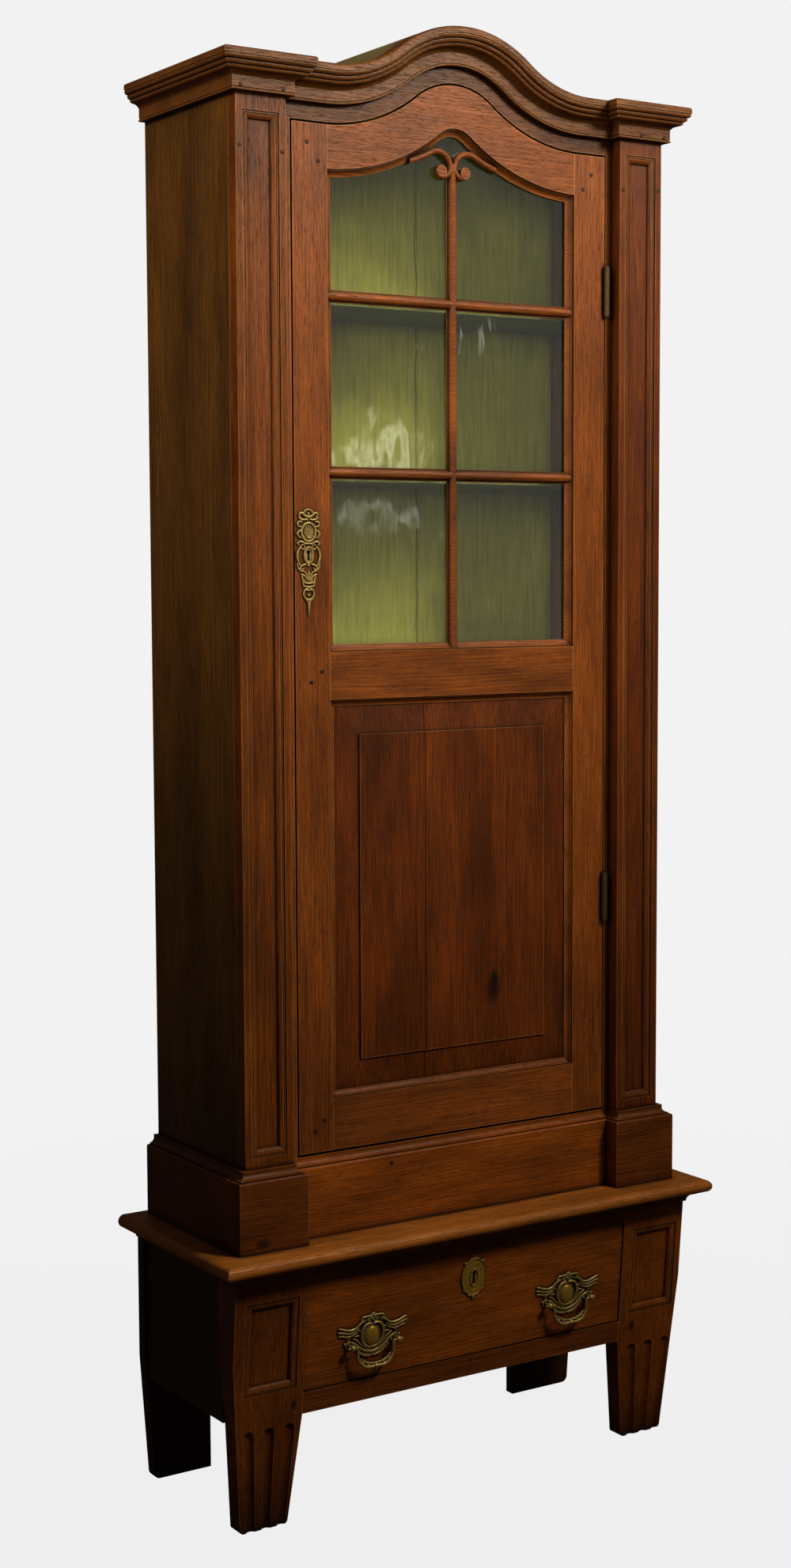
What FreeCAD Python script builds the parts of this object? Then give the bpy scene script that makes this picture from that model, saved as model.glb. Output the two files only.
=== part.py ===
import FreeCAD, Part
import math
import os
import Sketcher

# Narrow glazed display cabinet of oak on a one-drawer stand.
# Millimetres, +Z up, origin on the floor under the middle of the piece.
# The front looks along -Y, the hinge side of the door is at +X.

doc = FreeCAD.newDocument("cabinet")
sheet = doc.addObject("Spreadsheet::Sheet", "Sizes")

SIZES = [
    # Stand: the legs, their top board and the moulding under it
    ("stand_width", 818.0), ("stand_depth", 308.0), ("stand_body_height", 396.0),
    ("stand_top_thickness", 20.0), ("top_overhang_side", 31.0), ("top_overhang_front", 34.0),
    ("top_overhang_back", 3.0), ("front_lean", 34.4),
    ("bed_height", 16.0), ("bed_projection", 15.0), ("bed_fillet", 3.0), ("bed_lip", 4.0),
    ("leg_width", 118.0), ("leg_top_thickness", 51.0), ("leg_foot_thickness", 28.0),
    ("leg_outer_taper", 20.0), ("leg_inner_taper", 18.0), ("leg_taper_height", 255.0),
    ("leg_foot_radius", 7.0), ("leg_panel_margin", 15.0), ("leg_panel_drop", 49.0),
    ("leg_panel_height", 139.0), ("leg_carving_shift", 4.0),
    ("rear_leg_width_left", 112.0), ("rear_leg_width_right", 128.0),
    ("rear_leg_thickness", 18.0), ("rear_leg_taper", 13.0), ("rear_leg_taper_height", 195.0),
    ("rear_foot_radius", 11.0),
    ("flute_width", 18.0), ("flute_foot_width", 14.0), ("flute_depth", 5.5),
    ("flute_spacing", 34.0), ("flute_foot_spacing", 25.0), ("flute_drop", 250.0),
    ("stand_panel_thickness", 20.0), ("stand_panel_inset", 4.0),
    ("drawer_rail_height", 33.0), ("drawer_rail_thickness", 28.0),
    ("drawer_opening_height", 165.0), ("apron_height", 33.0), ("apron_thickness", 26.0),
    # Drawer
    ("drawer_gap", 1.5), ("drawer_inset", 2.0), ("drawer_front_thickness", 22.0),
    ("drawer_side_thickness", 10.0), ("drawer_side_drop", 12.0), ("drawer_length", 258.0),
    ("drawer_back_thickness", 10.0), ("drawer_bottom_thickness", 7.0),
    ("drawer_bottom_rise", 8.0), ("drawer_side_gap", 2.0),
    ("runner_width", 38.0), ("runner_height", 24.0), ("runner_gap", 0.3),
    ("guide_width", 18.0), ("guide_height", 14.0), ("guide_gap", 1.0), ("kicker_height", 18.0),
    ("kicker_gap", 1.5),
    # Cabinet case
    ("carcase_width", 750.0), ("carcase_depth", 271.0), ("carcase_setback", 30.0),
    ("side_thickness", 18.0), ("back_thickness", 12.0), ("back_joint", 0.8),
    ("back_left_width", 230.0), ("back_middle_width", 220.0),
    ("pilaster_width", 80.0), ("pilaster_thickness", 22.0), ("pilaster_height", 1505.0),
    ("recess_margin", 11.0), ("recess_head_margin", 23.5), ("recess_foot_margin", 16.0),
    ("recess_lip", 1.6), ("recess_quirk_inset", 3.2), ("recess_quirk_width", 1.2),
    ("recess_quirk_depth", 1.8), ("recess_ovolo_width", 7.6), ("recess_ovolo_depth", 5.4),
    ("plinth_height", 119.0), ("plinth_projection", 18.0), ("plinth_front_projection", 12.0),
    ("plinth_mould_height", 17.0), ("plinth_nose", 3.0),
    ("plinth_quirk", 2.0), ("plinth_side_step", 2.0), ("plinth_inner_step", 5.0),
    ("plinth_top_lip", 6.0), ("plinth_cove_radius", 8.0),
    ("floor_thickness", 20.0), ("shelf_thickness", 20.0), ("shelf_lock_gap", 3.5),
    ("shelf_lower_height", 710.0), ("shelf_middle_height", 981.0), ("shelf_upper_height", 1234.0),
    ("roof_thickness", 11.0),
    ("frame_thickness", 26.0), ("stop_thickness", 10.0), ("stop_lap", 10.0), ("stop_gap", 0.5),
    # Cornice: one section for the capitals and for the arch between them
    ("cornice_height", 52.0), ("neck_projection", 9.5), ("neck_bead", 3.0),
    ("neck_bead_radius", 1.7), ("neck_groove", 1.2), ("neck_height", 18.5),
    ("cove_projection", 19.0), ("cove_height", 25.0), ("cove_radius", 12.0),
    ("reed_low", 4.0), ("reed_middle", 5.2), ("reed_high", 5.6), ("reed_step", 5.2),
    ("reed_radius", 4.6), ("reed_quirk", 1.0), ("crown_projection", 33.5),
    ("crown_round", 4.0),
    # Ogee arch of the door head, given for the underside of the frame head
    ("bay_shift", 4.5), ("arch_half_span", 225.0), ("arch_rise", 77.0), ("arch_cap_radius", 109.0),
    # Door
    ("door_width", 555.0), ("door_shoulder_height", 1475.0), ("door_thickness", 26.0),
    ("door_gap_left", 3.0), ("door_gap_right", 2.0), ("door_gap_top", 3.0),
    ("door_gap_bottom", 3.5), ("door_stile_width", 58.0), ("door_head_width", 61.0),
    ("mid_rail_bottom", 661.5), ("mid_rail_height", 69.0), ("bottom_rail_height", 77.0),
    ("glass_mould_width", 10.5), ("glass_mould_depth", 10.0), ("glass_mould_lip", 3.0),
    ("glass_mould_fillet", 2.0), ("glass_mould_radius", 9.0), ("glass_thickness", 3.0),
    ("scroll_bar_top", 18.0),
    ("bar_width", 18.0), ("bar_face_recess", 3.0), ("bar_lip", 2.0), ("bar_fillet", 2.5),
    ("bar_tongue_width", 6.0), ("bar_tongue_depth", 9.0),
    ("upper_bar_height", 1237.5), ("lower_bar_height", 987.5), ("glass_clearance", 0.3),
    ("panel_thickness", 8.0), ("panel_recess", 10.0), ("panel_margin", 52.0),
    ("panel_bevel_rise", 3.0), ("panel_step", 2.5), ("panel_mould_width", 10.0),
    ("panel_mould_lip", 2.0), ("panel_mould_radius", 8.0), ("panel_mould_edge", 1.5),
    ("scroll_width", 9.5), ("scroll_base", 8.0), ("scroll_set", 17.5), ("scroll_sweep", 200.0),
    ("scroll_crest", 24.0), ("scroll_curl", 14.0), ("scroll_tip", 7.0),
    ("scroll_eye_radius", 8.5), ("scroll_eye_inset", 3.5), ("scroll_eye_rise", 0.6),
    # Hinges
    ("knuckle_radius", 4.5), ("knuckle_height", 14.4), ("knuckle_count", 5.0),
    ("knuckle_gap", 0.2), ("pin_radius", 2.0), ("pin_clearance", 0.05), ("pin_head_radius", 3.4),
    ("pin_head_height", 2.5), ("leaf_thickness", 0.9), ("leaf_width", 22.0),
    ("hinge_face_gap", 0.3), ("lower_hinge_height", 300.5), ("upper_hinge_height", 1236.5),
    # Door lock and its plate
    ("key_height", 873.5), ("plate_thickness", 2.0), ("door_plate_width", 41.0),
    ("door_plate_above", 62.0), ("door_plate_below", 92.0), ("keyhole_radius", 3.2),
    ("keyhole_slot", 2.4), ("keyhole_drop", 14.0),
    ("key_from_edge", 22.0), ("lock_from_edge", 8.5), ("lock_width", 46.0), ("lock_height", 70.0),
    ("lock_thickness", 20.0), ("bolt_height", 16.0), ("bolt_thickness", 6.0),
    ("bolt_length", 34.0), ("bolt_clearance", 0.4), ("bolt_rise", 8.0),
    # Drawer brasses
    ("handle_reach", 179.5), ("handle_rise", 62.5), ("handle_plate_width", 120.0),
    ("handle_plate_height", 66.0), ("handle_plate_rise", 35.0), ("boss_half_width", 12.0),
    ("boss_half_height", 17.0), ("boss_rise", 3.0), ("handle_pivot_drop", 8.0),
    ("post_spacing", 80.0), ("post_length", 12.0), ("post_radius", 3.2), ("post_ball_radius", 5.0),
    ("eye_clearance", 0.3), ("bail_radius", 2.1), ("bail_drop", 33.0), ("bail_corner", 20.0),
    ("bail_bend", 4.0), ("bail_end", 2.0),
    ("bail_drop_radius", 4.4), ("bail_drop_length", 9.0),
    ("drawer_plate_width", 48.0), ("drawer_plate_height", 65.0), ("drawer_plate_above", 25.0),
    ("drawer_key_drop", 33.5),
    ("drawer_lock_width", 60.0), ("drawer_lock_height", 40.0), ("drawer_lock_thickness", 10.0),
    ("drawer_bolt_thickness", 4.0), ("drawer_bolt_length", 26.0),
    # Working values for cuts
    ("overrun", 5.0),
]


class Dim:
    """A length that is both a number and the text of an expression on the sheet."""

    def __init__(self, text, value):
        self.text = text
        self.value = value

    def _join(self, other, sign, value):
        other = dim(other)
        return Dim("(%s %s %s)" % (self.text, sign, other.text), value)

    def __add__(self, other):
        return self._join(other, "+", self.value + dim(other).value)

    def __sub__(self, other):
        return self._join(other, "-", self.value - dim(other).value)

    def __mul__(self, other):
        return self._join(other, "*", self.value * dim(other).value)

    def __truediv__(self, other):
        return self._join(other, "/", self.value / dim(other).value)

    def __rmul__(self, other):
        return dim(other) * self

    def __neg__(self):
        return Dim("(0 - %s)" % self.text, -self.value)

    def __float__(self):
        return self.value


def dim(value):
    return value if isinstance(value, Dim) else Dim(repr(value), float(value))


def root(value):
    return Dim("sqrt(%s)" % value.text, math.sqrt(value.value))


class Sizes:
    """Named sizes, read back from the sheet."""


for row, (alias, number) in enumerate(SIZES, start=1):
    sheet.set("A%d" % row, alias)
    sheet.set("B%d" % row, str(number))
    sheet.setAlias("B%d" % row, alias)
doc.recompute()
s = Sizes()
for alias, number in SIZES:
    setattr(s, alias, Dim("Sizes." + alias, float(sheet.get(alias))))
ZERO = dim(0)

# Planes and levels that many pieces share
depth_total = s.top_overhang_front + s.stand_depth + s.top_overhang_back
y_front = s.top_overhang_front - depth_total / 2
y_rear = y_front + s.stand_depth
z_top = s.stand_body_height + s.stand_top_thickness
lean_slope = s.front_lean / s.stand_body_height
lean_length = root(s.front_lean * s.front_lean + s.stand_body_height * s.stand_body_height)
lean_cos = s.stand_body_height / lean_length
lean_sin = s.front_lean / lean_length
LEAN_DEGREES = math.degrees(math.atan2(float(s.front_lean), float(s.stand_body_height)))
x_stand = s.stand_width / 2
x_opening = x_stand - s.leg_width
z_drawer_top = s.stand_body_height - s.drawer_rail_height
z_drawer_low = z_drawer_top - s.drawer_opening_height
z_apron = z_drawer_low - s.apron_height

y_face = y_front + s.carcase_setback
y_frame = y_face + s.pilaster_thickness
y_back = y_face + s.carcase_depth
y_inside_back = y_back - s.back_thickness
y_frame_back = y_frame + s.frame_thickness
y_stop = y_frame_back + s.stop_gap
x_case = s.carcase_width / 2
x_inside = x_case - s.side_thickness
z_plinth = z_top + s.plinth_height
z_capital = z_plinth + s.pilaster_height
z_crown = z_capital + s.cornice_height
z_ceiling = z_crown - s.roof_thickness

x_bay = s.bay_shift
x_door_left = x_bay - s.door_width / 2
x_door_right = x_bay + s.door_width / 2
x_frame_left = x_door_left - s.door_gap_left
x_frame_right = x_door_right + s.door_gap_right
z_door = z_plinth + s.door_gap_bottom
z_shoulder = z_door + s.door_shoulder_height
z_head = z_shoulder + s.door_gap_top
x_glass_left = x_door_left + s.door_stile_width
x_glass_right = x_door_right - s.door_stile_width
z_mid = z_door + s.mid_rail_bottom
z_glass = z_mid + s.mid_rail_height
z_panel = z_door + s.bottom_rail_height
y_door_back = y_frame + s.door_thickness

# Ogee arch: a cap arc between two hollow arcs, each outline an offset of the others
arch_centres = (s.arch_half_span * s.arch_half_span + s.arch_rise * s.arch_rise) / (2 * s.arch_rise)
z_cap = z_head + s.arch_rise - s.arch_cap_radius
z_flank = z_cap + arch_centres - s.arch_rise


def ogee_level(radius):
    """Height of the flat ends of the arch whose cap has this radius."""
    return z_flank - arch_centres + radius


def ogee_radius(level):
    """Cap radius of the arch whose flat ends lie at this height."""
    return level - z_flank + arch_centres


def ogee(radius, x_left, x_right, reverse=False):
    """Arch outline from x_left to x_right. An end inside the span cuts the hollow arc."""
    hollow = arch_centres - radius
    knee_x = s.arch_half_span * radius / arch_centres
    knee_z = z_cap + (z_flank - z_cap) * radius / arch_centres
    left, start = ogee_end(x_bay - s.arch_half_span, x_left, hollow, -1)
    right, finish = ogee_end(x_bay + s.arch_half_span, x_right, hollow, 1)
    steps = [start, ("arc", x_bay - knee_x, knee_z, hollow, 1),
             ("arc", x_bay + knee_x, knee_z, radius, -1)]
    if left is not None:
        steps.insert(1, ("line",) + left)
    if right is not None:
        steps += [("arc",) + right + (hollow, 1), ("line",) + finish]
    else:
        steps.append(("arc",) + finish + (hollow, 1))
    return backwards(steps) if reverse else steps


def band(inner, outer, x_left, x_right):
    """Closed outline between two arches."""
    top = ogee(outer, x_left, x_right, reverse=True)
    return ogee(inner, x_left, x_right) + [("line",) + tuple(top[0])] + top[1:]


def headed(z_low, radius, x_left, x_right):
    """Closed outline with a level foot, upright sides and an arched head."""
    arch = ogee(radius, x_left, x_right)
    return [(x_left, z_low), ("line",) + tuple(arch[0])] + arch[1:] + [("line", x_right, z_low)]


def ogee_end(x_span, x_end, hollow, side):
    """Spring point of a hollow arc, if the outline reaches past it, and the outline's end."""
    level = z_flank - hollow
    if (float(x_end) - float(x_span)) * side > 0:
        return (x_span, level), (x_end, level)
    reach = x_end - x_span
    return None, (x_end, z_flank - root(hollow * hollow - reach * reach))


def backwards(steps):
    """The same outline walked from its last point to its first."""
    points = [steps[0]] + [step[1:3] for step in steps[1:]]
    turned = [points[-1]]
    for index in range(len(steps) - 1, 0, -1):
        step = steps[index]
        end = points[index - 1]
        if step[0] == "arc":
            turned.append(("arc",) + tuple(end) + (step[3], -step[4]))
        else:
            turned.append(("line",) + tuple(end))
    return turned


def ring(points):
    """Closed outline of straight lines."""
    return [points[0]] + [("line",) + tuple(p) for p in points[1:]]


def box_outline(u0, u1, v0, v1):
    return ring([(u0, v0), (u1, v0), (u1, v1), (u0, v1)])


def vector(x, y, z):
    return FreeCAD.Vector(float(x), float(y), float(z))


def new_body(label):
    body = doc.addObject("PartDesign::Body", label)
    body.Label = label
    return body


def plane_of(body, role):
    return [f for f in body.Origin.OriginFeatures if f.Role == role + "_Plane"][0]


def arc_geometry(start, end, radius, turn):
    """Arc from start to end; turn 1 keeps the centre on the left of the chord, -1 on the right."""
    ax, ay = start
    bx, by = end
    span = math.hypot(bx - ax, by - ay)
    lift = math.sqrt(max(radius * radius - span * span / 4, 0)) * turn
    cx = (ax + bx) / 2 - lift * (by - ay) / span
    cy = (ay + by) / 2 + lift * (bx - ax) / span
    first = math.atan2(ay - cy, ax - cx)
    last = math.atan2(by - cy, bx - cx)
    if turn < 0:
        first, last = last, first
    circle = Part.Circle(FreeCAD.Vector(cx, cy, 0), FreeCAD.Vector(0, 0, 1), radius)
    return Part.ArcOfCircle(circle, first, last)


def bind(sketch, kind, geometry, point, value):
    index = sketch.addConstraint(
        Sketcher.Constraint(kind, -1, 1, geometry, point, float(value)))
    sketch.setExpression("Constraints[%d]" % index, value.text)


def new_sketch(body, plane, offset=ZERO, turn=None, shift=(ZERO, ZERO)):
    """Sketch on one of the body's own planes, moved off it by offset and turned if asked."""
    sketch = body.newObject("Sketcher::SketchObject", "Sketch")
    sketch.AttachmentSupport = [(plane_of(body, plane), "")]
    sketch.MapMode = "FlatFace"
    rotation = turn if turn is not None else FreeCAD.Rotation()
    sketch.AttachmentOffset = FreeCAD.Placement(vector(shift[0], shift[1], offset), rotation)
    for axis, value in zip("xyz", (shift[0], shift[1], offset)):
        if value is not ZERO:
            sketch.setExpression("AttachmentOffset.Base." + axis, value.text)
    return sketch


def draw(sketch, steps, closed=True):
    """Add an outline. steps: a first point, then ("line", u, v) or ("arc", u, v, radius, turn)."""
    points = [steps[0]] + [step[1:3] for step in steps[1:]]
    moves = list(steps[1:])
    if closed:
        moves.append(("line",) + tuple(points[0]))
    here = points[0]
    first = sketch.GeometryCount
    last = first + len(moves) - 1
    turns = []
    for move in moves:
        start = (float(here[0]), float(here[1]))
        end = (float(move[1]), float(move[2]))
        if move[0] == "arc":
            sketch.addGeometry(arc_geometry(start, end, float(move[3]), move[4]), False)
            turns.append((1, 2) if move[4] > 0 else (2, 1))
        else:
            sketch.addGeometry(Part.LineSegment(FreeCAD.Vector(*start, 0),
                                                FreeCAD.Vector(*end, 0)), False)
            turns.append((1, 2))
        here = move[1:3]
    for k in range(first, last):
        sketch.addConstraint(Sketcher.Constraint(
            "Coincident", k, turns[k - first][1], k + 1, turns[k + 1 - first][0]))
    if closed:
        sketch.addConstraint(Sketcher.Constraint(
            "Coincident", last, turns[-1][1], first, turns[0][0]))
    for k, point in enumerate(points):
        if k < len(moves):
            geometry, end = first + k, turns[k][0]
        else:
            geometry, end = last, turns[-1][1]
        bind(sketch, "DistanceX", geometry, end, point[0])
        bind(sketch, "DistanceY", geometry, end, point[1])
    for k, move in enumerate(moves):
        if move[0] == "arc":
            index = sketch.addConstraint(
                Sketcher.Constraint("Radius", first + k, float(move[3])))
            sketch.setExpression("Constraints[%d]" % index, move[3].text)


def draw_circle(sketch, u, v, radius):
    circle = Part.Circle(vector(u, v, 0), FreeCAD.Vector(0, 0, 1), float(radius))
    geometry = sketch.addGeometry(circle, False)
    bind(sketch, "DistanceX", geometry, 3, u)
    bind(sketch, "DistanceY", geometry, 3, v)
    index = sketch.addConstraint(Sketcher.Constraint("Radius", geometry, float(radius)))
    sketch.setExpression("Constraints[%d]" % index, radius.text)


def pad(body, sketch, length, reverse=False, middle=False, kind="Pad"):
    feature = body.newObject("PartDesign::" + kind, kind)
    feature.Profile = sketch
    feature.Reversed = reverse
    feature.Midplane = middle
    feature.setExpression("Length", length.text)
    return feature


def pocket(body, sketch, length, reverse=False, middle=False):
    return pad(body, sketch, length, reverse, middle, "Pocket")


def loft(body, sketches, kind="AdditiveLoft"):
    feature = body.newObject("PartDesign::" + kind, kind)
    feature.Profile = sketches[0]
    feature.Sections = sketches[1:]
    feature.Ruled = True
    return feature


def pipe(body, profile, path, kind="AdditivePipe"):
    feature = body.newObject("PartDesign::" + kind, kind)
    feature.Profile = profile
    feature.Spine = (path, [])
    feature.Mode = "Standard"
    feature.Transition = "Right corner"
    return feature


def slab(label, plane, outline, start, length, holes=()):
    """Body padded from one outline. It runs from start, along the plane's world axis."""
    body = new_body(label)
    flip = plane == "XZ"
    sketch = new_sketch(body, plane, -start if flip else start)
    draw(sketch, outline)
    for hole in holes:
        draw(sketch, hole)
    pad(body, sketch, length, reverse=flip)
    return body


def board(label, x0, x1, y0, y1, z0, z1):
    """Plain squared board."""
    box = doc.addObject("Part::Box", label)
    box.Label = label
    for prop, value in (("Length", x1 - x0), ("Width", y1 - y0), ("Height", z1 - z0),
                        (".Placement.Base.x", x0), (".Placement.Base.y", y0),
                        (".Placement.Base.z", z0)):
        box.setExpression(prop, value.text)
    return box


def cylinder(label, x, y, z, radius, height):
    round_bar = doc.addObject("Part::Cylinder", label)
    round_bar.Label = label
    for prop, value in (("Radius", radius), ("Height", height), (".Placement.Base.x", x),
                        (".Placement.Base.y", y), (".Placement.Base.z", z)):
        round_bar.setExpression(prop, value.text)
    return round_bar


def fuse(label, shapes):
    result = doc.addObject("Part::MultiFuse", label)
    result.Label = label
    result.Shapes = shapes
    return result


def cut(label, base, tool):
    result = doc.addObject("Part::Cut", label)
    result.Label = label
    result.Base = base
    result.Tool = tool
    return result


def group(label, shapes):
    result = doc.addObject("Part::Compound", label)
    result.Label = label
    result.Links = shapes
    return result


def lean_y(z, behind=ZERO):
    """Depth of the leaning front of the stand at a height, or of a face behind it."""
    return y_front + behind + (s.stand_body_height - z) * lean_slope


def lean_sketch(body, u=ZERO, drop=ZERO, out=ZERO, tilt=0.0):
    """Sketch on the leaning front: u across, drop down the slope, out towards the viewer."""
    turn = FreeCAD.Rotation(FreeCAD.Vector(1, 0, 0), LEAN_DEGREES)
    turn = turn.multiply(FreeCAD.Rotation(FreeCAD.Vector(0, 0, 1), tilt))
    up = s.stand_body_height - drop * lean_cos - out * lean_sin
    forward = drop * lean_sin * -1 - y_front + out * lean_cos
    return new_sketch(body, "XZ", forward, turn, (u, up))


OVOLO_SHARES = ((0, 0), (0.38, 0.08), (0.71, 0.29), (0.92, 0.62), (1, 1))


def recess(body, sketch_at, u0, u1, v0, v1):
    """Sunk panel. From its edge inwards: a lip, a quirk, and an ovolo down to the panel."""
    def framed(depth, inset):
        return drawn(sketch_at(depth), box_outline(u0 + inset, u1 - inset, v0 + inset, v1 - inset))

    pocket(body, framed(ZERO, ZERO), s.recess_lip)
    start = s.recess_quirk_inset + s.recess_quirk_width
    quirk = framed(s.recess_lip, s.recess_quirk_inset)
    draw(quirk, box_outline(u0 + start, u1 - start, v0 + start, v1 - start))
    pocket(body, quirk, s.recess_quirk_depth)
    loft(body, [framed(s.recess_lip + s.recess_ovolo_depth * deep,
                       start + s.recess_ovolo_width * across)
                for across, deep in OVOLO_SHARES], "SubtractiveLoft")


def drawn(sketch, outline):
    draw(sketch, outline)
    return sketch


def span(side, inner, outer):
    """Low and high x of something between two distances from the middle, on one side."""
    return (inner, outer) if side > 0 else (-outer, -inner)


def mirrored(steps, side):
    """An outline drawn for the +X side, turned over for the other side."""
    if side > 0:
        return steps
    turned = [(-steps[0][0], steps[0][1])]
    for step in steps[1:]:
        if step[0] == "arc":
            turned.append(("arc", -step[1], step[2], step[3], -step[4]))
        else:
            turned.append(("line", -step[1], step[2]))
    return turned


def shifted(steps, u, v):
    """An outline moved across and up."""
    return [(steps[0][0] + u, steps[0][1] + v)] + [
        (step[0], step[1] + u, step[2] + v) + tuple(step[3:]) for step in steps[1:]]


def place(item, x, y, z, leaning=True):
    """Put a fitting drawn at the origin in its place, leaning with the front of the stand."""
    angle = LEAN_DEGREES if leaning else 0
    item.Placement = FreeCAD.Placement(
        vector(x, y, z), FreeCAD.Rotation(FreeCAD.Vector(1, 0, 0), angle))
    for axis, value in (("x", x), ("y", y), ("z", z)):
        item.setExpression(".Placement.Base." + axis, value.text)
    return item


SIDES = ((-1, "left"), (1, "right"))

# Top board with a half-round nose on the front and the sides
x_top = x_stand + s.top_overhang_side
y_top_front = y_front - s.top_overhang_front
y_top_back = y_rear + s.top_overhang_back
nose = s.stand_top_thickness / 2
x_core = x_top - nose
body = new_body("stand_top")
sketch = new_sketch(body, "XY", s.stand_body_height)
draw(sketch, box_outline(-x_core, x_core, y_top_front + nose, y_top_back))
pad(body, sketch, s.stand_top_thickness)
path = new_sketch(body, "XY", s.stand_body_height)
draw(path, ring([(-x_core, y_top_back), (-x_core, y_top_front + nose),
                 (x_core, y_top_front + nose), (x_core, y_top_back)]), closed=False)
profile = new_sketch(body, "XZ", -y_top_back)
draw(profile, [(-x_core, s.stand_body_height),
               ("arc", -x_top, s.stand_body_height + nose, nose, -1),
               ("arc", -x_core, z_top, nose, -1)])
pipe(body, profile, path)

# Moulding under the top, mitred round the front and the sides
z_bed = s.stand_body_height - s.bed_height
body = new_body("bed_moulding")
path = new_sketch(body, "XY", z_bed)
draw(path, ring([(-x_stand, y_rear), (-x_stand, y_front), (x_stand, y_front),
                 (x_stand, y_rear)]), closed=False)
profile = new_sketch(body, "XZ", -y_rear)
bed_cove = s.bed_projection - s.bed_fillet
bed_low = z_bed + s.bed_lip / 2
draw(profile, [(-x_stand, z_bed), ("line", -x_stand - s.bed_fillet, z_bed),
               ("line", -x_stand - s.bed_fillet, bed_low),
               ("arc", -x_stand - s.bed_projection, s.stand_body_height - s.bed_lip, bed_cove, 1),
               ("line", -x_stand - s.bed_projection, s.stand_body_height),
               ("line", -x_stand, s.stand_body_height)])
pipe(body, profile, path)

# Front legs: leaning, tapered to the foot, with a sunk panel and three flutes
y_leg_back = y_front + s.leg_top_thickness
y_foot_back = lean_y(ZERO, s.leg_foot_thickness)
flute_half = s.flute_width / 2
flute_radius = (flute_half * flute_half + s.flute_depth * s.flute_depth) / (2 * s.flute_depth)
flute_out = flute_radius - s.flute_depth
flute_foot_half = s.flute_foot_width / 2
flute_foot_radius = root(flute_foot_half * flute_foot_half + flute_out * flute_out)
flute_length = lean_length - s.flute_drop + s.overrun
x_leg = x_stand - s.leg_width / 2
flute_turn = math.degrees(math.atan2(
    float(s.flute_spacing) - float(s.flute_foot_spacing), float(flute_length)))
for side, name in SIDES:
    body = new_body("front_leg_" + name)
    low, high = span(side, x_opening, x_stand)
    sketch = new_sketch(body, "YZ", low)
    draw(sketch, ring([(lean_y(s.stand_body_height), s.stand_body_height),
                       (y_leg_back, s.stand_body_height), (y_leg_back, z_apron),
                       (y_foot_back, ZERO), (lean_y(ZERO), ZERO)]))
    pad(body, sketch, s.leg_width)
    sketch = new_sketch(body, "XZ", -y_leg_back)
    over = s.overrun
    toe = s.leg_foot_radius
    foot = x_stand - s.leg_outer_taper
    draw(sketch, mirrored([
        (x_stand, s.leg_taper_height), ("line", foot, toe), ("arc", foot - toe, ZERO, toe, -1),
        ("line", foot - toe, -over), ("line", x_stand + over, -over),
        ("line", x_stand + over, s.leg_taper_height)], side))
    foot = x_opening + s.leg_inner_taper
    draw(sketch, mirrored([
        (x_opening, z_apron), ("line", foot, toe), ("arc", foot + toe, ZERO, toe, 1),
        ("line", foot + toe, -over), ("line", x_opening - over, -over),
        ("line", x_opening - over, z_apron)], side))
    pocket(body, sketch, s.leg_width, reverse=True, middle=True)
    low = low + s.leg_carving_shift
    high = high + s.leg_carving_shift
    recess(body, lambda depth: lean_sketch(body, ZERO, ZERO, -depth),
           low + s.leg_panel_margin, high - s.leg_panel_margin,
           -s.leg_panel_drop - s.leg_panel_height, -s.leg_panel_drop)
    for place_number in (-1, 0, 1):
        u = side * x_leg + place_number * s.flute_spacing + s.leg_carving_shift
        sketch = lean_sketch(body, u, s.flute_drop, flute_out, -flute_turn * place_number)
        draw(sketch, [(ZERO, flute_radius), ("arc", flute_radius, ZERO, flute_radius, -1),
                      ("line", flute_foot_radius, -flute_length),
                      ("line", ZERO, -flute_length)])
        groove = body.newObject("PartDesign::Groove", "Groove")
        groove.Profile = sketch
        groove.ReferenceAxis = (sketch, ["V_Axis"])
        groove.Angle = 360

# Rear legs, panels and rails of the stand
y_rear_leg = y_rear - s.rear_leg_thickness
x_rear_left = s.rear_leg_width_left - x_stand
x_rear_right = x_stand - s.rear_leg_width_right
for side, name, inner in ((-1, "left", -x_rear_left), (1, "right", x_rear_right)):
    foot_x = x_stand - s.rear_leg_taper
    outline = [(inner, s.stand_body_height), ("line", inner, ZERO),
               ("line", foot_x - s.rear_foot_radius, ZERO),
               ("arc", foot_x, s.rear_foot_radius, s.rear_foot_radius, 1),
               ("line", x_stand, s.rear_leg_taper_height),
               ("line", x_stand, s.stand_body_height)]
    slab("rear_leg_" + name, "XZ", mirrored(outline, side), y_rear_leg, s.rear_leg_thickness)
    low, high = span(side, x_stand - s.stand_panel_inset - s.stand_panel_thickness,
                     x_stand - s.stand_panel_inset)
    board("side_panel_" + name, low, high, y_leg_back, y_rear_leg, z_apron, s.stand_body_height)
y_rail_back = y_rear - s.stand_panel_inset
board("back_rail", x_rear_left, x_rear_right, y_rear_leg, y_rail_back, z_apron,
      s.stand_body_height)


def leaning_section(z0, z1, behind, thickness, back=None):
    """Section of a piece whose front leans, upright or leaning at the back."""
    back_low = back if back is not None else lean_y(z0, behind + thickness)
    back_high = back if back is not None else lean_y(z1, behind + thickness)
    return ring([(lean_y(z0, behind), z0), (back_low, z0), (back_high, z1),
                 (lean_y(z1, behind), z1)])


y_rail = lean_y(z_drawer_top, s.drawer_rail_thickness)
slab("drawer_rail", "YZ", leaning_section(z_drawer_top, s.stand_body_height, ZERO, ZERO, y_rail),
     -x_opening, x_opening * 2)
slab("apron", "YZ", leaning_section(z_apron, z_drawer_low, ZERO, s.apron_thickness),
     -x_opening, x_opening * 2)

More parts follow.
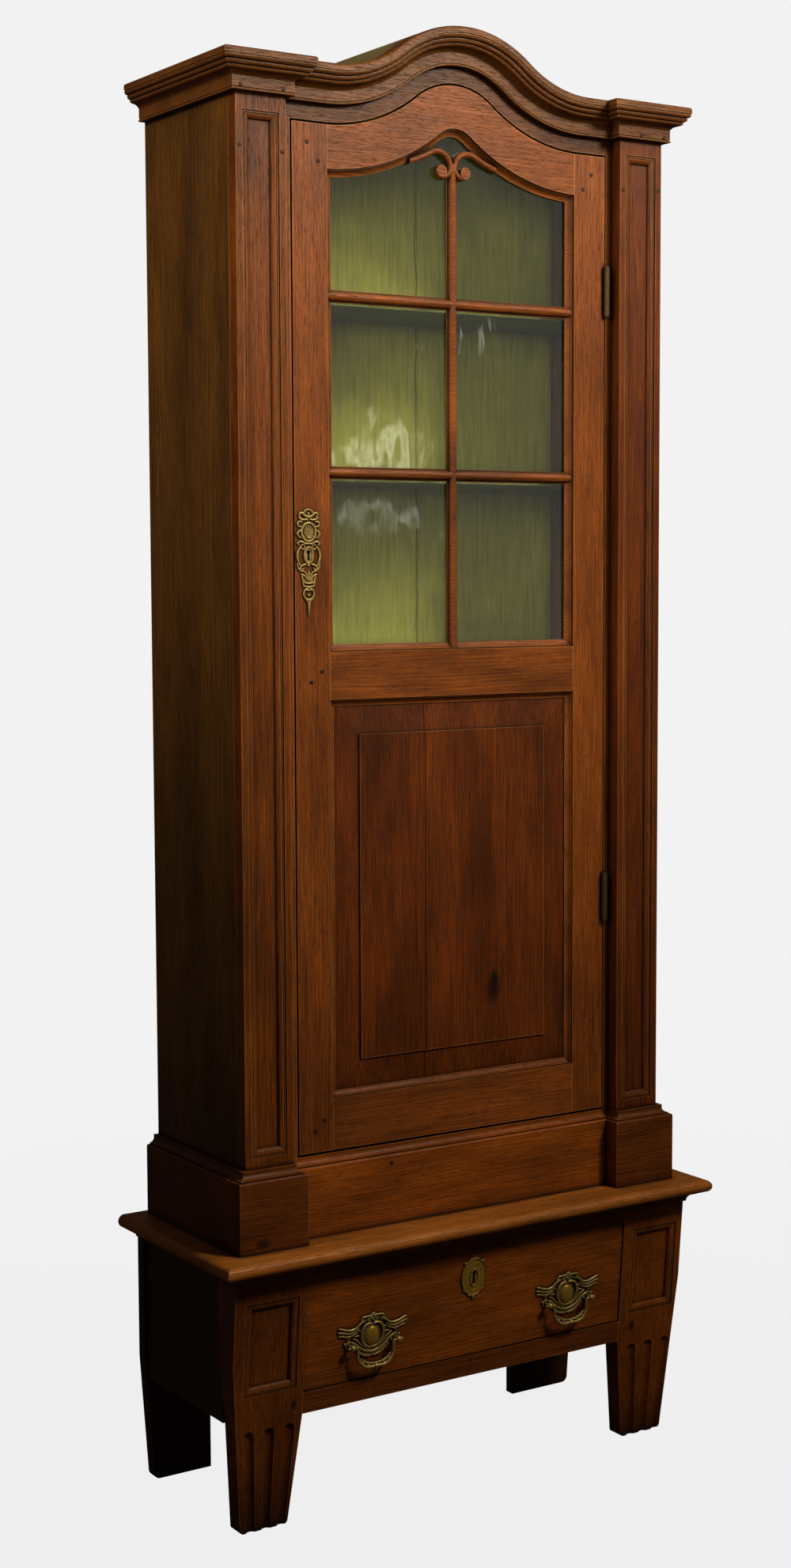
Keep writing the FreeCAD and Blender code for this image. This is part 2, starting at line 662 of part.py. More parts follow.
# Drawer
z_front_low = z_drawer_low + s.drawer_gap
z_front_high = z_drawer_top - s.drawer_gap
z_side_high = z_front_high - s.drawer_side_drop
z_handle = z_front_low + s.handle_rise
z_drawer_key = z_front_high - s.drawer_key_drop
front_behind = s.drawer_inset + s.drawer_front_thickness
y_drawer_back = y_front + s.drawer_length
x_drawer_side = x_opening - s.drawer_side_gap
x_drawer_inner = x_drawer_side - s.drawer_side_thickness
x_front = x_opening - s.drawer_gap
keyhole_back = lean_y(z_drawer_low, front_behind) + s.overrun


def keyhole(body, x, z, y_start, reach):
    """Round eye with a slot under it, cut from behind y_start towards the viewer."""
    pocket(body, eye(new_sketch(body, "XZ", -y_start), x, z), reach, reverse=True)
    slot = new_sketch(body, "XZ", -y_start)
    draw(slot, box_outline(x - s.keyhole_slot / 2, x + s.keyhole_slot / 2,
                           z - s.keyhole_drop, z))
    pocket(body, slot, reach, reverse=True)


def eye(sketch, x, z):
    draw_circle(sketch, x, z, s.keyhole_radius)
    return sketch


body = slab("drawer_front", "YZ",
            leaning_section(z_front_low, z_front_high, s.drawer_inset, s.drawer_front_thickness),
            -x_front, x_front * 2)
keyhole(body, x_bay, z_drawer_key, keyhole_back, s.front_lean + s.drawer_front_thickness)
for side, name in SIDES:
    low, high = span(side, x_drawer_inner, x_drawer_side)
    slab("drawer_side_" + name, "YZ",
         leaning_section(z_front_low, z_side_high, front_behind, ZERO, y_drawer_back),
         low, s.drawer_side_thickness)
z_bottom_low = z_front_low + s.drawer_bottom_rise
z_bottom_high = z_bottom_low + s.drawer_bottom_thickness
slab("drawer_bottom", "YZ",
     leaning_section(z_bottom_low, z_bottom_high, front_behind, ZERO, y_drawer_back),
     -x_drawer_inner, x_drawer_inner * 2)
board("drawer_back", -x_drawer_inner, x_drawer_inner, y_drawer_back - s.drawer_back_thickness,
      y_drawer_back, z_bottom_high, z_side_high)
x_runner_in = x_stand - s.leg_width - s.runner_width / 2
z_runner = z_front_low - s.runner_gap
x_guide = x_drawer_side + s.guide_gap
x_runner_out = x_guide + s.guide_width
rails = []
for side, name in SIDES:
    rails.append(slab("runner_" + name, "XZ", mirrored(ring([
        (x_runner_in, z_runner - s.runner_height), (x_runner_out, z_runner - s.runner_height),
        (x_runner_out, z_runner + s.guide_height), (x_guide, z_runner + s.guide_height),
        (x_guide, z_runner), (x_runner_in, z_runner)]), side),
        y_leg_back, y_rear_leg - y_leg_back))
    low, high = span(side, x_runner_in, x_runner_out)
    z_kicker = z_side_high + s.kicker_gap
    rails.append(board("kicker_" + name, low, high, y_leg_back, y_rear_leg,
                       z_kicker, z_kicker + s.kicker_height))
group("drawer_runners", rails)

# Drawer lock: a case on the back of the front, its bolt shoots up behind the rail
z_lock_high = z_front_high - s.drawer_gap
z_lock_low = z_lock_high - s.drawer_lock_height
x_lock = s.drawer_lock_width / 2
body = slab("drawer_lock", "YZ", leaning_section(z_lock_low, z_lock_high, front_behind,
                                                 s.drawer_lock_thickness),
            x_bay - x_lock, s.drawer_lock_width)
y_bolt = y_rail + s.bolt_clearance
bolt_half = s.bolt_height / 2
y_bolt_back = y_bolt + s.drawer_bolt_thickness
z_bolt = z_lock_high - s.drawer_bolt_length
clear = s.bolt_clearance
sketch = new_sketch(body, "XY", z_lock_high)
draw(sketch, box_outline(x_bay - bolt_half - clear, x_bay + bolt_half + clear,
                         y_bolt - clear, y_bolt_back + clear))
pocket(body, sketch, s.drawer_bolt_length + clear)
board("drawer_bolt", x_bay - bolt_half, x_bay + bolt_half, y_bolt, y_bolt_back, z_bolt,
      z_lock_high)


def plate_outline(half_width, height, top, shares):
    """Outline symmetric about its middle. shares: share of the height down, share of half width."""
    right = [(half_width * share, top - height * drop) for drop, share in shares]
    left = [(-point[0], point[1]) for point in reversed(right)]
    return ring(right + left)


HANDLE_PLATE_SHARES = ((0.0, 0.08), (0.03, 0.17), (0.12, 0.29), (0.23, 0.33), (0.32, 0.53),
                       (0.27, 0.77), (0.29, 0.93), (0.38, 1.0), (0.53, 0.92), (0.62, 0.73),
                       (0.71, 0.75), (0.78, 0.5), (0.86, 0.27), (1.0, 0.05))
BOSS_SHARES = (1.0, 0.6)
DRAWER_PLATE_SHARES = ((0.0, 0.1), (0.06, 0.35), (0.1, 0.62), (0.16, 0.72), (0.28, 0.93),
                       (0.45, 1.0), (0.6, 0.95), (0.72, 0.8), (0.78, 0.82), (0.84, 0.58),
                       (0.92, 0.38), (1.0, 0.05))
DOOR_PLATE_SHARES = ((0.0, 0.38), (0.05, 0.8), (0.12, 0.93), (0.18, 0.7), (0.235, 1.0),
                     (0.3, 0.87), (0.345, 0.7), (0.38, 1.0), (0.49, 1.0), (0.55, 0.73),
                     (0.58, 0.42), (0.61, 0.63), (0.68, 0.5), (0.74, 0.57), (0.79, 0.53),
                     (0.835, 0.33), (0.86, 0.12), (0.94, 0.13), (1.0, 0.04))


def face_spot(z):
    """Depth of the drawer front at a height."""
    return lean_y(z, s.drawer_inset)


# Drawer escutcheon and bail handles, drawn at the origin and leaned into place
body = new_body("drawer_escutcheon")
sketch = new_sketch(body, "XZ")
draw(sketch, plate_outline(s.drawer_plate_width / 2, s.drawer_plate_height,
                           s.drawer_plate_above, DRAWER_PLATE_SHARES))
pad(body, sketch, s.plate_thickness)
keyhole(body, ZERO, ZERO, s.overrun, s.overrun * 2)
place(body, x_bay, face_spot(z_drawer_key), z_drawer_key)

handle_lift = -s.handle_pivot_drop
post_x = s.post_spacing / 2
pivot_z = z_handle - s.handle_pivot_drop * lean_cos - s.post_length * lean_sin
pivot_y = face_spot(z_handle) + s.handle_pivot_drop * lean_sin - s.post_length * lean_cos
ball = s.post_ball_radius
posts = []
for side, name in SIDES:
    x_handle = x_bay + side * s.handle_reach
    body = new_body("handle_plate_" + name)
    sketch = new_sketch(body, "XZ")
    draw(sketch, plate_outline(s.handle_plate_width / 2, s.handle_plate_height,
                               s.handle_plate_rise, HANDLE_PLATE_SHARES))
    pad(body, sketch, s.plate_thickness)
    base = new_sketch(body, "XZ", s.plate_thickness)
    top = new_sketch(body, "XZ", s.plate_thickness + s.boss_rise)
    for level, share in zip((base, top), BOSS_SHARES):
        a = s.boss_half_width * share
        b = s.boss_half_height * share
        draw(level, ring([(a, b / 2), (a / 2, b), (-a / 2, b), (-a, b / 2), (-a, -b / 2),
                          (-a / 2, -b), (a / 2, -b), (a, -b / 2)]))
    loft(body, [base, top])
    sketch = new_sketch(body, "XZ")
    for post_side in (-1, 1):
        draw_circle(sketch, post_side * post_x, handle_lift, s.post_radius)
    pocket(body, sketch, s.overrun, reverse=True)
    place(body, x_handle, face_spot(z_handle), z_handle)

    for post_side in (-1, 1):
        post = new_body("post")
        profile = new_sketch(post, "YZ", post_side * post_x)
        y_ball = -s.post_length
        neck = root(ball * ball - s.post_radius * s.post_radius)
        draw(profile, shifted([(ZERO, ZERO), ("line", ZERO, s.post_radius),
                               ("line", y_ball + neck, s.post_radius),
                               ("arc", y_ball, ball, ball, 1), ("arc", y_ball - ball, ZERO, ball, 1)],
                              ZERO, handle_lift))
        axis = new_sketch(post, "YZ", post_side * post_x)
        draw(axis, ring([(y_ball, handle_lift), (ZERO, handle_lift)]), closed=False)
        turned = post.newObject("PartDesign::Revolution", "Revolution")
        turned.Profile = profile
        turned.ReferenceAxis = (axis, ["Edge1"])
        turned.Angle = 360
        hole = new_sketch(post, "YZ", post_side * post_x)
        draw_circle(hole, y_ball, handle_lift, s.bail_radius + s.eye_clearance)
        pocket(post, hole, ball * 2 + s.overrun, middle=True)
        posts.append(place(post, x_handle, face_spot(z_handle), z_handle))

    body = new_body("bail_" + name)
    bend = s.bail_bend
    half = post_x - ball - bend
    corner = s.bail_corner
    low = -s.bail_drop
    tip = post_x + ball + s.bail_end
    path = new_sketch(body, "XZ")
    draw(path, [(tip, ZERO), ("line", half + bend, ZERO), ("arc", half, -bend, bend, 1),
                ("line", half, low + corner), ("arc", half - corner, low, corner, -1),
                ("line", corner - half, low), ("arc", -half, low + corner, corner, -1),
                ("line", -half, -bend), ("arc", -half - bend, ZERO, bend, 1),
                ("line", -tip, ZERO)], closed=False)
    profile = new_sketch(body, "YZ", tip)
    draw_circle(profile, ZERO, ZERO, s.bail_radius)
    pipe(body, profile, path)
    drop = new_sketch(body, "XZ")
    draw(drop, [(ZERO, low + s.bail_drop_radius),
                ("arc", s.bail_drop_radius, low, s.bail_drop_radius, -1),
                ("line", ZERO, low - s.bail_drop_length)])
    turned = body.newObject("PartDesign::Revolution", "Revolution")
    turned.Profile = drop
    turned.ReferenceAxis = (drop, ["V_Axis"])
    turned.Angle = 360
    place(body, x_handle, pivot_y, pivot_z, leaning=False)
group("handle_posts", posts)

# Cabinet case: side boards, back boards, floor, shelves and roof
for side, name in SIDES:
    low, high = span(side, x_inside, x_case)
    board("side_board_" + name, low, high, y_frame, y_back, z_top, z_ceiling)

ceiling_radius = ogee_radius(z_ceiling)
crown_radius = ogee_radius(z_crown)
back_outline = [(-x_inside, z_top), ("line", x_inside, z_top), ("line", x_inside, z_ceiling)]
back_outline += ogee(ceiling_radius, -x_inside, x_inside, reverse=True)[1:]
back_slab = slab("back_slab", "XZ", back_outline, y_inside_back, s.back_thickness)
joint_left = s.back_left_width - x_inside
joint_right = joint_left + s.back_middle_width
joints = [board("back_joint_%d" % k, x, x + s.back_joint, y_inside_back - s.overrun,
                y_back + s.overrun, z_top - s.overrun, z_crown + s.arch_rise + s.overrun)
          for k, x in enumerate((joint_left, joint_right))]
cut("back_boards", back_slab, fuse("back_joints", joints))

board("carcase_bottom", -x_inside, x_inside, y_frame_back, y_inside_back,
      z_plinth - s.floor_thickness, z_plinth)
y_shelf = y_door_back + s.lock_thickness + s.shelf_lock_gap
for name, rise in (("lower", s.shelf_lower_height), ("middle", s.shelf_middle_height),
                   ("upper", s.shelf_upper_height)):
    board("shelf_" + name, -x_inside, x_inside, y_shelf, y_inside_back, z_plinth + rise,
          z_plinth + rise + s.shelf_thickness)
slab("roof", "XZ", band(ceiling_radius, crown_radius, -x_case, x_case), y_frame,
     y_back - y_frame)

# Door frame: two stiles with a stop behind the door, and the arched head
for side, name, edge in ((-1, "left", -x_frame_left), (1, "right", x_frame_right)):
    slab("frame_stile_" + name, "XY", mirrored(ring([
        (x_inside, y_frame), (edge, y_frame), (edge, y_stop), (edge - s.stop_lap, y_stop),
        (edge - s.stop_lap, y_stop + s.stop_thickness),
        (edge + s.stop_lap, y_stop + s.stop_thickness),
        (edge + s.stop_lap, y_frame_back), (x_inside, y_frame_back)]), side),
        z_plinth, z_head - z_plinth)
slab("frame_head", "XZ", band(s.arch_cap_radius, ceiling_radius, -x_inside, x_inside),
     y_frame, s.frame_thickness)

# Pilasters with sunk panels
x_pilaster = x_case - s.pilaster_width
for side, name in SIDES:
    low, high = span(side, x_pilaster, x_case)
    body = slab("pilaster_" + name, "XZ", box_outline(low, high, z_plinth, z_crown),
                y_face, s.pilaster_thickness)
    recess(body, lambda depth: new_sketch(body, "XZ", -(y_face + depth)),
           low + s.recess_margin, high - s.recess_margin, z_plinth + s.recess_foot_margin,
           z_capital - s.recess_head_margin)


def plinth_section(inner):
    """Plinth moulding: distance out from its path, height. Its back lies at inner."""
    out = s.plinth_projection
    low = z_plinth - s.plinth_mould_height
    step = out - s.plinth_nose - s.plinth_quirk
    return [(inner, z_top), ("line", out, z_top), ("line", out, low),
            ("arc", out - s.plinth_nose, low + s.plinth_nose, s.plinth_nose, 1),
            ("line", step, low + s.plinth_nose),
            ("line", step, low + s.plinth_nose + s.plinth_quirk),
            ("arc", s.plinth_top_lip, z_plinth - s.plinth_quirk, s.plinth_cove_radius, -1),
            ("line", s.plinth_top_lip, z_plinth), ("line", inner, z_plinth)]


def cornice_section():
    """Capital and arch moulding: distance out, height above its lower edge."""
    neck = s.neck_projection
    groove = s.neck_bead + s.neck_groove
    steps = [(ZERO, ZERO), ("line", neck, ZERO),
             ("arc", neck, s.neck_bead, s.neck_bead_radius, 1),
             ("line", neck - s.neck_groove, s.neck_bead), ("line", neck - s.neck_groove, groove),
             ("line", neck, groove), ("line", neck, s.neck_height),
             ("arc", s.cove_projection, s.cove_height, s.cove_radius, -1)]
    out = s.cove_projection
    up = s.cove_height
    for height in (s.reed_low, s.reed_middle, s.reed_high):
        steps.append(("arc", out + s.reed_step, up + height, s.reed_radius, 1))
        out = out + s.reed_step - s.reed_quirk
        up = up + height
        steps += [("line", out, up), ("line", out, up + s.reed_quirk)]
        up = up + s.reed_quirk
    rounding = s.crown_round
    return steps + [("line", s.crown_projection, up),
                    ("line", s.crown_projection, s.cornice_height - rounding),
                    ("arc", s.crown_projection - rounding, s.cornice_height, rounding, 1),
                    ("line", ZERO, s.cornice_height)]


def turned_out(steps, u, v, side):
    """A section drawn outwards from (u, v), towards side."""
    return shifted(mirrored(steps, side), u, v)


# Plinth: a block under each pilaster with its run along the side, and the part between
x_plinth_out = x_case + s.plinth_side_step
x_plinth_in = x_pilaster + s.plinth_inner_step
y_plinth_path = y_frame - s.plinth_front_projection + s.plinth_projection
lip = s.plinth_top_lip
over = s.overrun
for side, name in SIDES:
    body = new_body("plinth_block_" + name)
    sketch = new_sketch(body, "XY", z_top)
    draw(sketch, mirrored(ring([
        (x_case, y_back), (x_plinth_out, y_back), (x_plinth_out, y_face), (x_plinth_in, y_face),
        (x_plinth_in, y_frame), (x_case, y_frame)]), side))
    pad(body, sketch, s.plinth_height)
    path = new_sketch(body, "XY", z_top)
    draw(path, mirrored(ring([(x_plinth_out, y_back), (x_plinth_out, y_face),
                              (x_plinth_in, y_face), (x_plinth_in, y_frame)]), side),
         closed=False)
    profile = new_sketch(body, "XZ", -y_back)
    draw(profile, turned_out(plinth_section(ZERO), side * x_plinth_out, ZERO, side))
    pipe(body, profile, path)
    sketch = new_sketch(body, "XY", z_plinth + over)
    draw(sketch, mirrored(ring([
        (x_plinth_in - lip, y_frame), (x_plinth_in - s.plinth_projection - over, y_frame),
        (x_plinth_in - s.plinth_projection - over,
         y_frame + lip - s.plinth_projection - over)]), side))
    pocket(body, sketch, s.plinth_height + over * 2)
body = new_body("plinth_front")
sketch = new_sketch(body, "YZ", -x_inside)
draw(sketch, turned_out(plinth_section(y_plinth_path - y_frame_back), y_plinth_path, ZERO, -1))
pad(body, sketch, x_inside * 2)
sketch = new_sketch(body, "XY", z_plinth + over)
for side in (-1, 1):
    draw(sketch, mirrored(ring([
        (x_inside + over, y_frame), (x_plinth_in - lip, y_frame),
        (x_plinth_in - s.plinth_projection - over,
         y_frame + lip - s.plinth_projection - over),
        (x_inside + over, y_frame + lip - s.plinth_projection - over)]), side))
pocket(body, sketch, s.plinth_height + over * 2)

# Capitals round the pilaster heads, and the arched cornice between them
reach = s.crown_projection + over
for side, name in SIDES:
    body = new_body("capital_" + name)
    path = new_sketch(body, "XY", z_capital)
    draw(path, mirrored(ring([(x_case, y_back), (x_case, y_face), (x_pilaster, y_face),
                              (x_pilaster, y_frame)]), side), closed=False)
    profile = new_sketch(body, "XZ", -y_back)
    draw(profile, turned_out(cornice_section(), side * x_case, z_capital, side))
    pipe(body, profile, path)
    sketch = new_sketch(body, "XY", z_crown + over)
    draw(sketch, mirrored(ring([(x_pilaster, y_frame), (x_pilaster - reach, y_frame),
                                (x_pilaster - reach, y_frame - reach)]), side))
    pocket(body, sketch, s.cornice_height + over * 2)
body = new_body("cornice_arch")
path = new_sketch(body, "XZ", -y_frame)
draw(path, ogee(ogee_radius(z_capital), -x_pilaster, x_pilaster), closed=False)
profile = new_sketch(body, "YZ", -x_pilaster)
draw(profile, turned_out(cornice_section(), y_frame, z_capital, -1))
pipe(body, profile, path)
sketch = new_sketch(body, "XY", z_crown + over)
for side in (-1, 1):
    draw(sketch, mirrored(ring([(x_pilaster, y_frame), (x_pilaster, y_frame - reach),
                                (x_pilaster - reach, y_frame - reach)]), side))
pocket(body, sketch, s.cornice_height + over * 2)

# Door: two stiles and three rails, the top one arched
key_x = x_door_left + s.key_from_edge
key_z = z_door + s.key_height
door_back_cut = y_door_back + s.overrun
door_cut = s.door_thickness + s.overrun * 2
body = slab("door_stile_left", "XZ", box_outline(x_door_left, x_glass_left, z_door, z_shoulder),
            y_frame, s.door_thickness)
keyhole(body, key_x, key_z, door_back_cut, door_cut)
board("door_stile_right", x_glass_right, x_door_right, y_frame, y_door_back, z_door, z_shoulder)
board("door_bottom_rail", x_glass_left, x_glass_right, y_frame, y_door_back, z_door, z_panel)
board("door_mid_rail", x_glass_left, x_glass_right, y_frame, y_door_back, z_mid, z_glass)
door_top_radius = s.arch_cap_radius - s.door_gap_top
glass_radius = door_top_radius - s.door_head_width
slab("door_top_rail", "XZ", band(glass_radius, door_top_radius, x_glass_left, x_glass_right),
     y_frame, s.door_thickness)

# Moulding round the glass, cut round the bars that run over it
mould = s.glass_mould_width
y_glass = y_frame + s.glass_mould_depth + s.glass_mould_fillet
y_mould = y_frame + s.glass_mould_lip
frame_ring = new_body("glass_moulding_ring")
path = new_sketch(frame_ring, "XZ", -y_frame)
draw(path, headed(z_glass, glass_radius, x_glass_left, x_glass_right))
profile = new_sketch(frame_ring, "XY", z_glass + s.door_stile_width)
draw(profile, [(x_glass_left, y_mould), ("line", x_glass_left + s.glass_mould_fillet, y_mould),
               ("arc", x_glass_left + mould, y_frame + s.glass_mould_depth,
                s.glass_mould_radius, -1),
               ("line", x_glass_left + mould, y_glass), ("line", x_glass_left, y_glass)])
pipe(frame_ring, profile, path)

# Glazing bars: one upright and two level, each with a tongue between the panes
half_bar = s.bar_width / 2
half_nose = half_bar - s.bar_fillet
half_tongue = s.bar_tongue_width / 2
y_bar = y_frame + s.bar_face_recess
y_spring = y_bar + half_nose
y_lip = y_glass - s.bar_lip
bar_section = [(half_bar, y_glass), ("line", half_bar, y_lip), ("line", half_nose, y_lip),
               ("line", half_nose, y_spring), ("arc", ZERO, y_bar, half_nose, -1),
               ("arc", -half_nose, y_spring, half_nose, -1), ("line", -half_nose, y_lip),
               ("line", -half_bar, y_lip), ("line", -half_bar, y_glass)]
tongue = [("line", -half_tongue, y_glass), ("line", -half_tongue, y_glass + s.bar_tongue_depth),
          ("line", half_tongue, y_glass + s.bar_tongue_depth), ("line", half_tongue, y_glass)]


def swapped(steps, v):
    """A section with its two directions exchanged, for a sketch on the YZ plane."""
    turned = [(steps[0][1], steps[0][0] + v)]
    for step in steps[1:]:
        if step[0] == "arc":
            turned.append(("arc", step[2], step[1] + v, step[3], -step[4]))
        else:
            turned.append(("line", step[2], step[1] + v))
    return turned


z_upper_bar = z_door + s.upper_bar_height
z_lower_bar = z_door + s.lower_bar_height
z_scroll = ogee_level(glass_radius) + s.scroll_base
body = new_body("glazing_bars")
for level in (z_lower_bar, z_upper_bar):
    sketch = new_sketch(body, "YZ", x_glass_left)
    draw(sketch, swapped(bar_section + tongue, level))
    pad(body, sketch, x_glass_right - x_glass_left)
sketch = new_sketch(body, "XY", z_glass)
draw(sketch, shifted(bar_section + tongue, x_bay, ZERO))
pad(body, sketch, z_upper_bar - z_glass)
sketch = new_sketch(body, "XY", z_upper_bar)
draw(sketch, shifted(bar_section, x_bay, ZERO))
pad(body, sketch, z_scroll + s.scroll_bar_top - z_upper_bar)
bars = body

# Scrolls at the head of the upright bar. Each is four arcs, tangent where they meet.
# The shares give the direction from each arc's centre to the meeting point: across, up.
START_SHARES = (0.28, 0.96)
CREST_SHARES = (8 / 17, 15 / 17)
CURL_SHARES = (-0.96, 0.28)


def along(point, length, shares):
    return (point[0] + length * shares[0], point[1] + length * shares[1])


half_scroll = s.scroll_width / 2
curl_centre = (s.scroll_set, s.scroll_curl)
curl_start = along(curl_centre, s.scroll_curl, CURL_SHARES)
crest_centre = along(curl_start, -s.scroll_crest, CURL_SHARES)
crest_start = along(crest_centre, s.scroll_crest, CREST_SHARES)
sweep_centre = along(crest_start, s.scroll_sweep, CREST_SHARES)
sweep_start = along(sweep_centre, -s.scroll_sweep, START_SHARES)
scroll_steps = [sweep_start, ("arc",) + crest_start + (s.scroll_sweep, -1),
                ("arc",) + curl_start + (s.scroll_crest, 1),
                ("arc", s.scroll_set, ZERO, s.scroll_curl, 1),
                ("arc", s.scroll_set + s.scroll_tip, s.scroll_tip, s.scroll_tip, 1)]
scrolls = []
for side, name in SIDES:
    body = new_body("scroll_" + name)
    path = new_sketch(body, "XZ", -y_glass)
    draw(path, shifted(mirrored(scroll_steps, side), x_bay, z_scroll), closed=False)
    profile = new_sketch(body, "YZ", x_bay + side * sweep_start[0])
    draw(profile, shifted([
        (y_glass, -half_scroll), ("line", y_bar + half_scroll, -half_scroll),
        ("arc", y_bar, ZERO, half_scroll, -1),
        ("arc", y_bar + half_scroll, half_scroll, half_scroll, -1),
        ("line", y_glass, half_scroll)], ZERO, z_scroll + sweep_start[1]))
    pipe(body, profile, path)
    sketch = new_sketch(body, "XZ", -y_glass)
    draw_circle(sketch, x_bay + side * (s.scroll_set + s.scroll_tip - s.scroll_eye_inset),
                z_scroll + s.scroll_tip, s.scroll_eye_radius)
    pad(body, sketch, y_glass - y_bar + s.scroll_eye_rise)
    scrolls.append(cut("scroll_piece_" + name, body,
                       fuse("scroll_seat_" + name, [frame_ring, bars])))
group("glazing_scrolls", scrolls)
cut("glass_moulding", frame_ring, bars)

# Panes: two in each lower row, one arched pane across the top
gap = s.glass_clearance
left_edge = x_bay - half_tongue - gap
right_edge = x_bay + half_tongue + gap
panes = []
for row, z0, z1 in (("lower", z_glass, z_lower_bar - half_tongue),
                    ("middle", z_lower_bar + half_tongue, z_upper_bar - half_tongue)):
    panes.append(board("pane_left_" + row, x_glass_left + gap, left_edge, y_glass,
                       y_glass + s.glass_thickness, z0 + gap, z1 - gap))
    panes.append(board("pane_right_" + row, right_edge, x_glass_right - gap, y_glass,
                       y_glass + s.glass_thickness, z0 + gap, z1 - gap))
panes.append(slab("pane_head", "XZ", headed(
    z_upper_bar + half_tongue + gap, glass_radius - gap, x_glass_left + gap,
    x_glass_right - gap), y_glass, s.glass_thickness))
group("glass_panes", panes)

# Fielded panel and the moulding round it
y_panel = y_frame + s.panel_recess
y_field = y_panel - s.panel_bevel_rise
body = slab("door_panel", "XZ", box_outline(x_glass_left, x_glass_right, z_panel, z_mid),
            y_panel, s.panel_thickness)


def inset(margin):
    return box_outline(x_glass_left + margin, x_glass_right - margin, z_panel + margin,
                       z_mid - margin)


edge = drawn(new_sketch(body, "XZ", -y_panel), inset(s.panel_mould_width))
foot = drawn(new_sketch(body, "XZ", -y_field), inset(s.panel_margin))
loft(body, [edge, foot])
field = drawn(new_sketch(body, "XZ", -y_field), inset(s.panel_margin))
pad(body, field, s.panel_step)
body = new_body("panel_moulding")
path = drawn(new_sketch(body, "XZ", -y_frame), inset(ZERO))
profile = new_sketch(body, "XY", z_panel + s.panel_margin)
y_edge = y_frame + s.panel_mould_lip
draw(profile, [(x_glass_left, y_edge), ("line", x_glass_left + s.glass_mould_fillet, y_edge),
               ("arc", x_glass_left + s.panel_mould_width, y_panel - s.panel_mould_edge,
                s.panel_mould_radius, -1),
               ("line", x_glass_left + s.panel_mould_width, y_panel),
               ("line", x_glass_left, y_panel)])
pipe(body, profile, path)

# Door plate with keyhole, and the lock whose bolt shoots behind the stop of the frame
body = new_body("door_escutcheon")
sketch = new_sketch(body, "XZ", -y_frame)
plate = plate_outline(s.door_plate_width / 2, s.door_plate_above + s.door_plate_below,
                      s.door_plate_above, DOOR_PLATE_SHARES)
draw(sketch, shifted(plate, key_x, key_z))
pad(body, sketch, s.plate_thickness)
keyhole(body, key_x, key_z, y_frame + s.overrun, s.overrun * 2)
x_lock_case = x_door_left + s.lock_from_edge
z_lock_case = key_z - s.lock_height / 2
z_key_bolt = key_z + s.bolt_rise
y_key_bolt = y_stop + s.stop_thickness + s.bolt_clearance
bolt_end = x_lock_case + s.bolt_length
body = new_body("door_lock")
sketch = new_sketch(body, "XZ", -y_door_back)
draw(sketch, box_outline(x_lock_case, x_lock_case + s.lock_width, z_lock_case,
                         z_lock_case + s.lock_height))
pad(body, sketch, s.lock_thickness, reverse=True)
sketch = new_sketch(body, "YZ", x_lock_case)
draw(sketch, box_outline(y_key_bolt - clear, y_key_bolt + s.bolt_thickness + clear,
                         z_key_bolt - bolt_half - clear, z_key_bolt + bolt_half + clear))
pocket(body, sketch, s.bolt_length + clear, reverse=True)
board("door_bolt", x_lock_case, bolt_end, y_key_bolt, y_key_bolt + s.bolt_thickness,
      z_key_bolt - bolt_half, z_key_bolt + bolt_half)

# Butt hinges: leaves in the gap beside the door, knuckles proud of the face
x_pin = x_door_right + s.door_gap_right / 2
y_pin = y_frame - s.knuckle_radius - s.hinge_face_gap
hinge_height = s.knuckle_height * s.knuckle_count
bore = s.pin_radius + s.pin_clearance
frame_leaves = []
door_leaves = []
for name, low in (("lower", z_door + s.lower_hinge_height), ("upper", z_door + s.upper_hinge_height)):
    for leaf, first, x0 in (("frame", 0, x_frame_right - s.leaf_thickness),
                            ("door", 1, x_door_right)):
        bits = [board("leaf", x0, x0 + s.leaf_thickness, y_frame, y_frame + s.leaf_width, low,
                      low + hinge_height)]
        for k in range(first, int(float(s.knuckle_count)), 2):
            z0 = low + s.knuckle_height * k + s.knuckle_gap / 2
            z1 = z0 + s.knuckle_height - s.knuckle_gap
            bits.append(cylinder("knuckle", x_pin, y_pin, z0, s.knuckle_radius, z1 - z0))
            bits.append(board("tab", x0, x0 + s.leaf_thickness, y_pin, y_frame, z0, z1))
        whole = fuse("leaf_%s_%s" % (leaf, name), bits)
        hole = cylinder("bore", x_pin, y_pin, low - over, bore, hinge_height + over * 2)
        leaf_piece = cut("leaf_%s_%s_bored" % (leaf, name), whole, hole)
        (frame_leaves if leaf == "frame" else door_leaves).append(leaf_piece)
    heads = [cylinder("pin", x_pin, y_pin, low, s.pin_radius, hinge_height)]
    for z0 in (low - s.pin_head_height, low + hinge_height):
        heads.append(cylinder("pin_head", x_pin, y_pin, z0, s.pin_head_radius,
                              s.pin_head_height))
    frame_leaves.append(fuse("hinge_pin_" + name, heads))
group("hinge_frame_leaves", frame_leaves)
group("hinge_door_leaves", door_leaves)

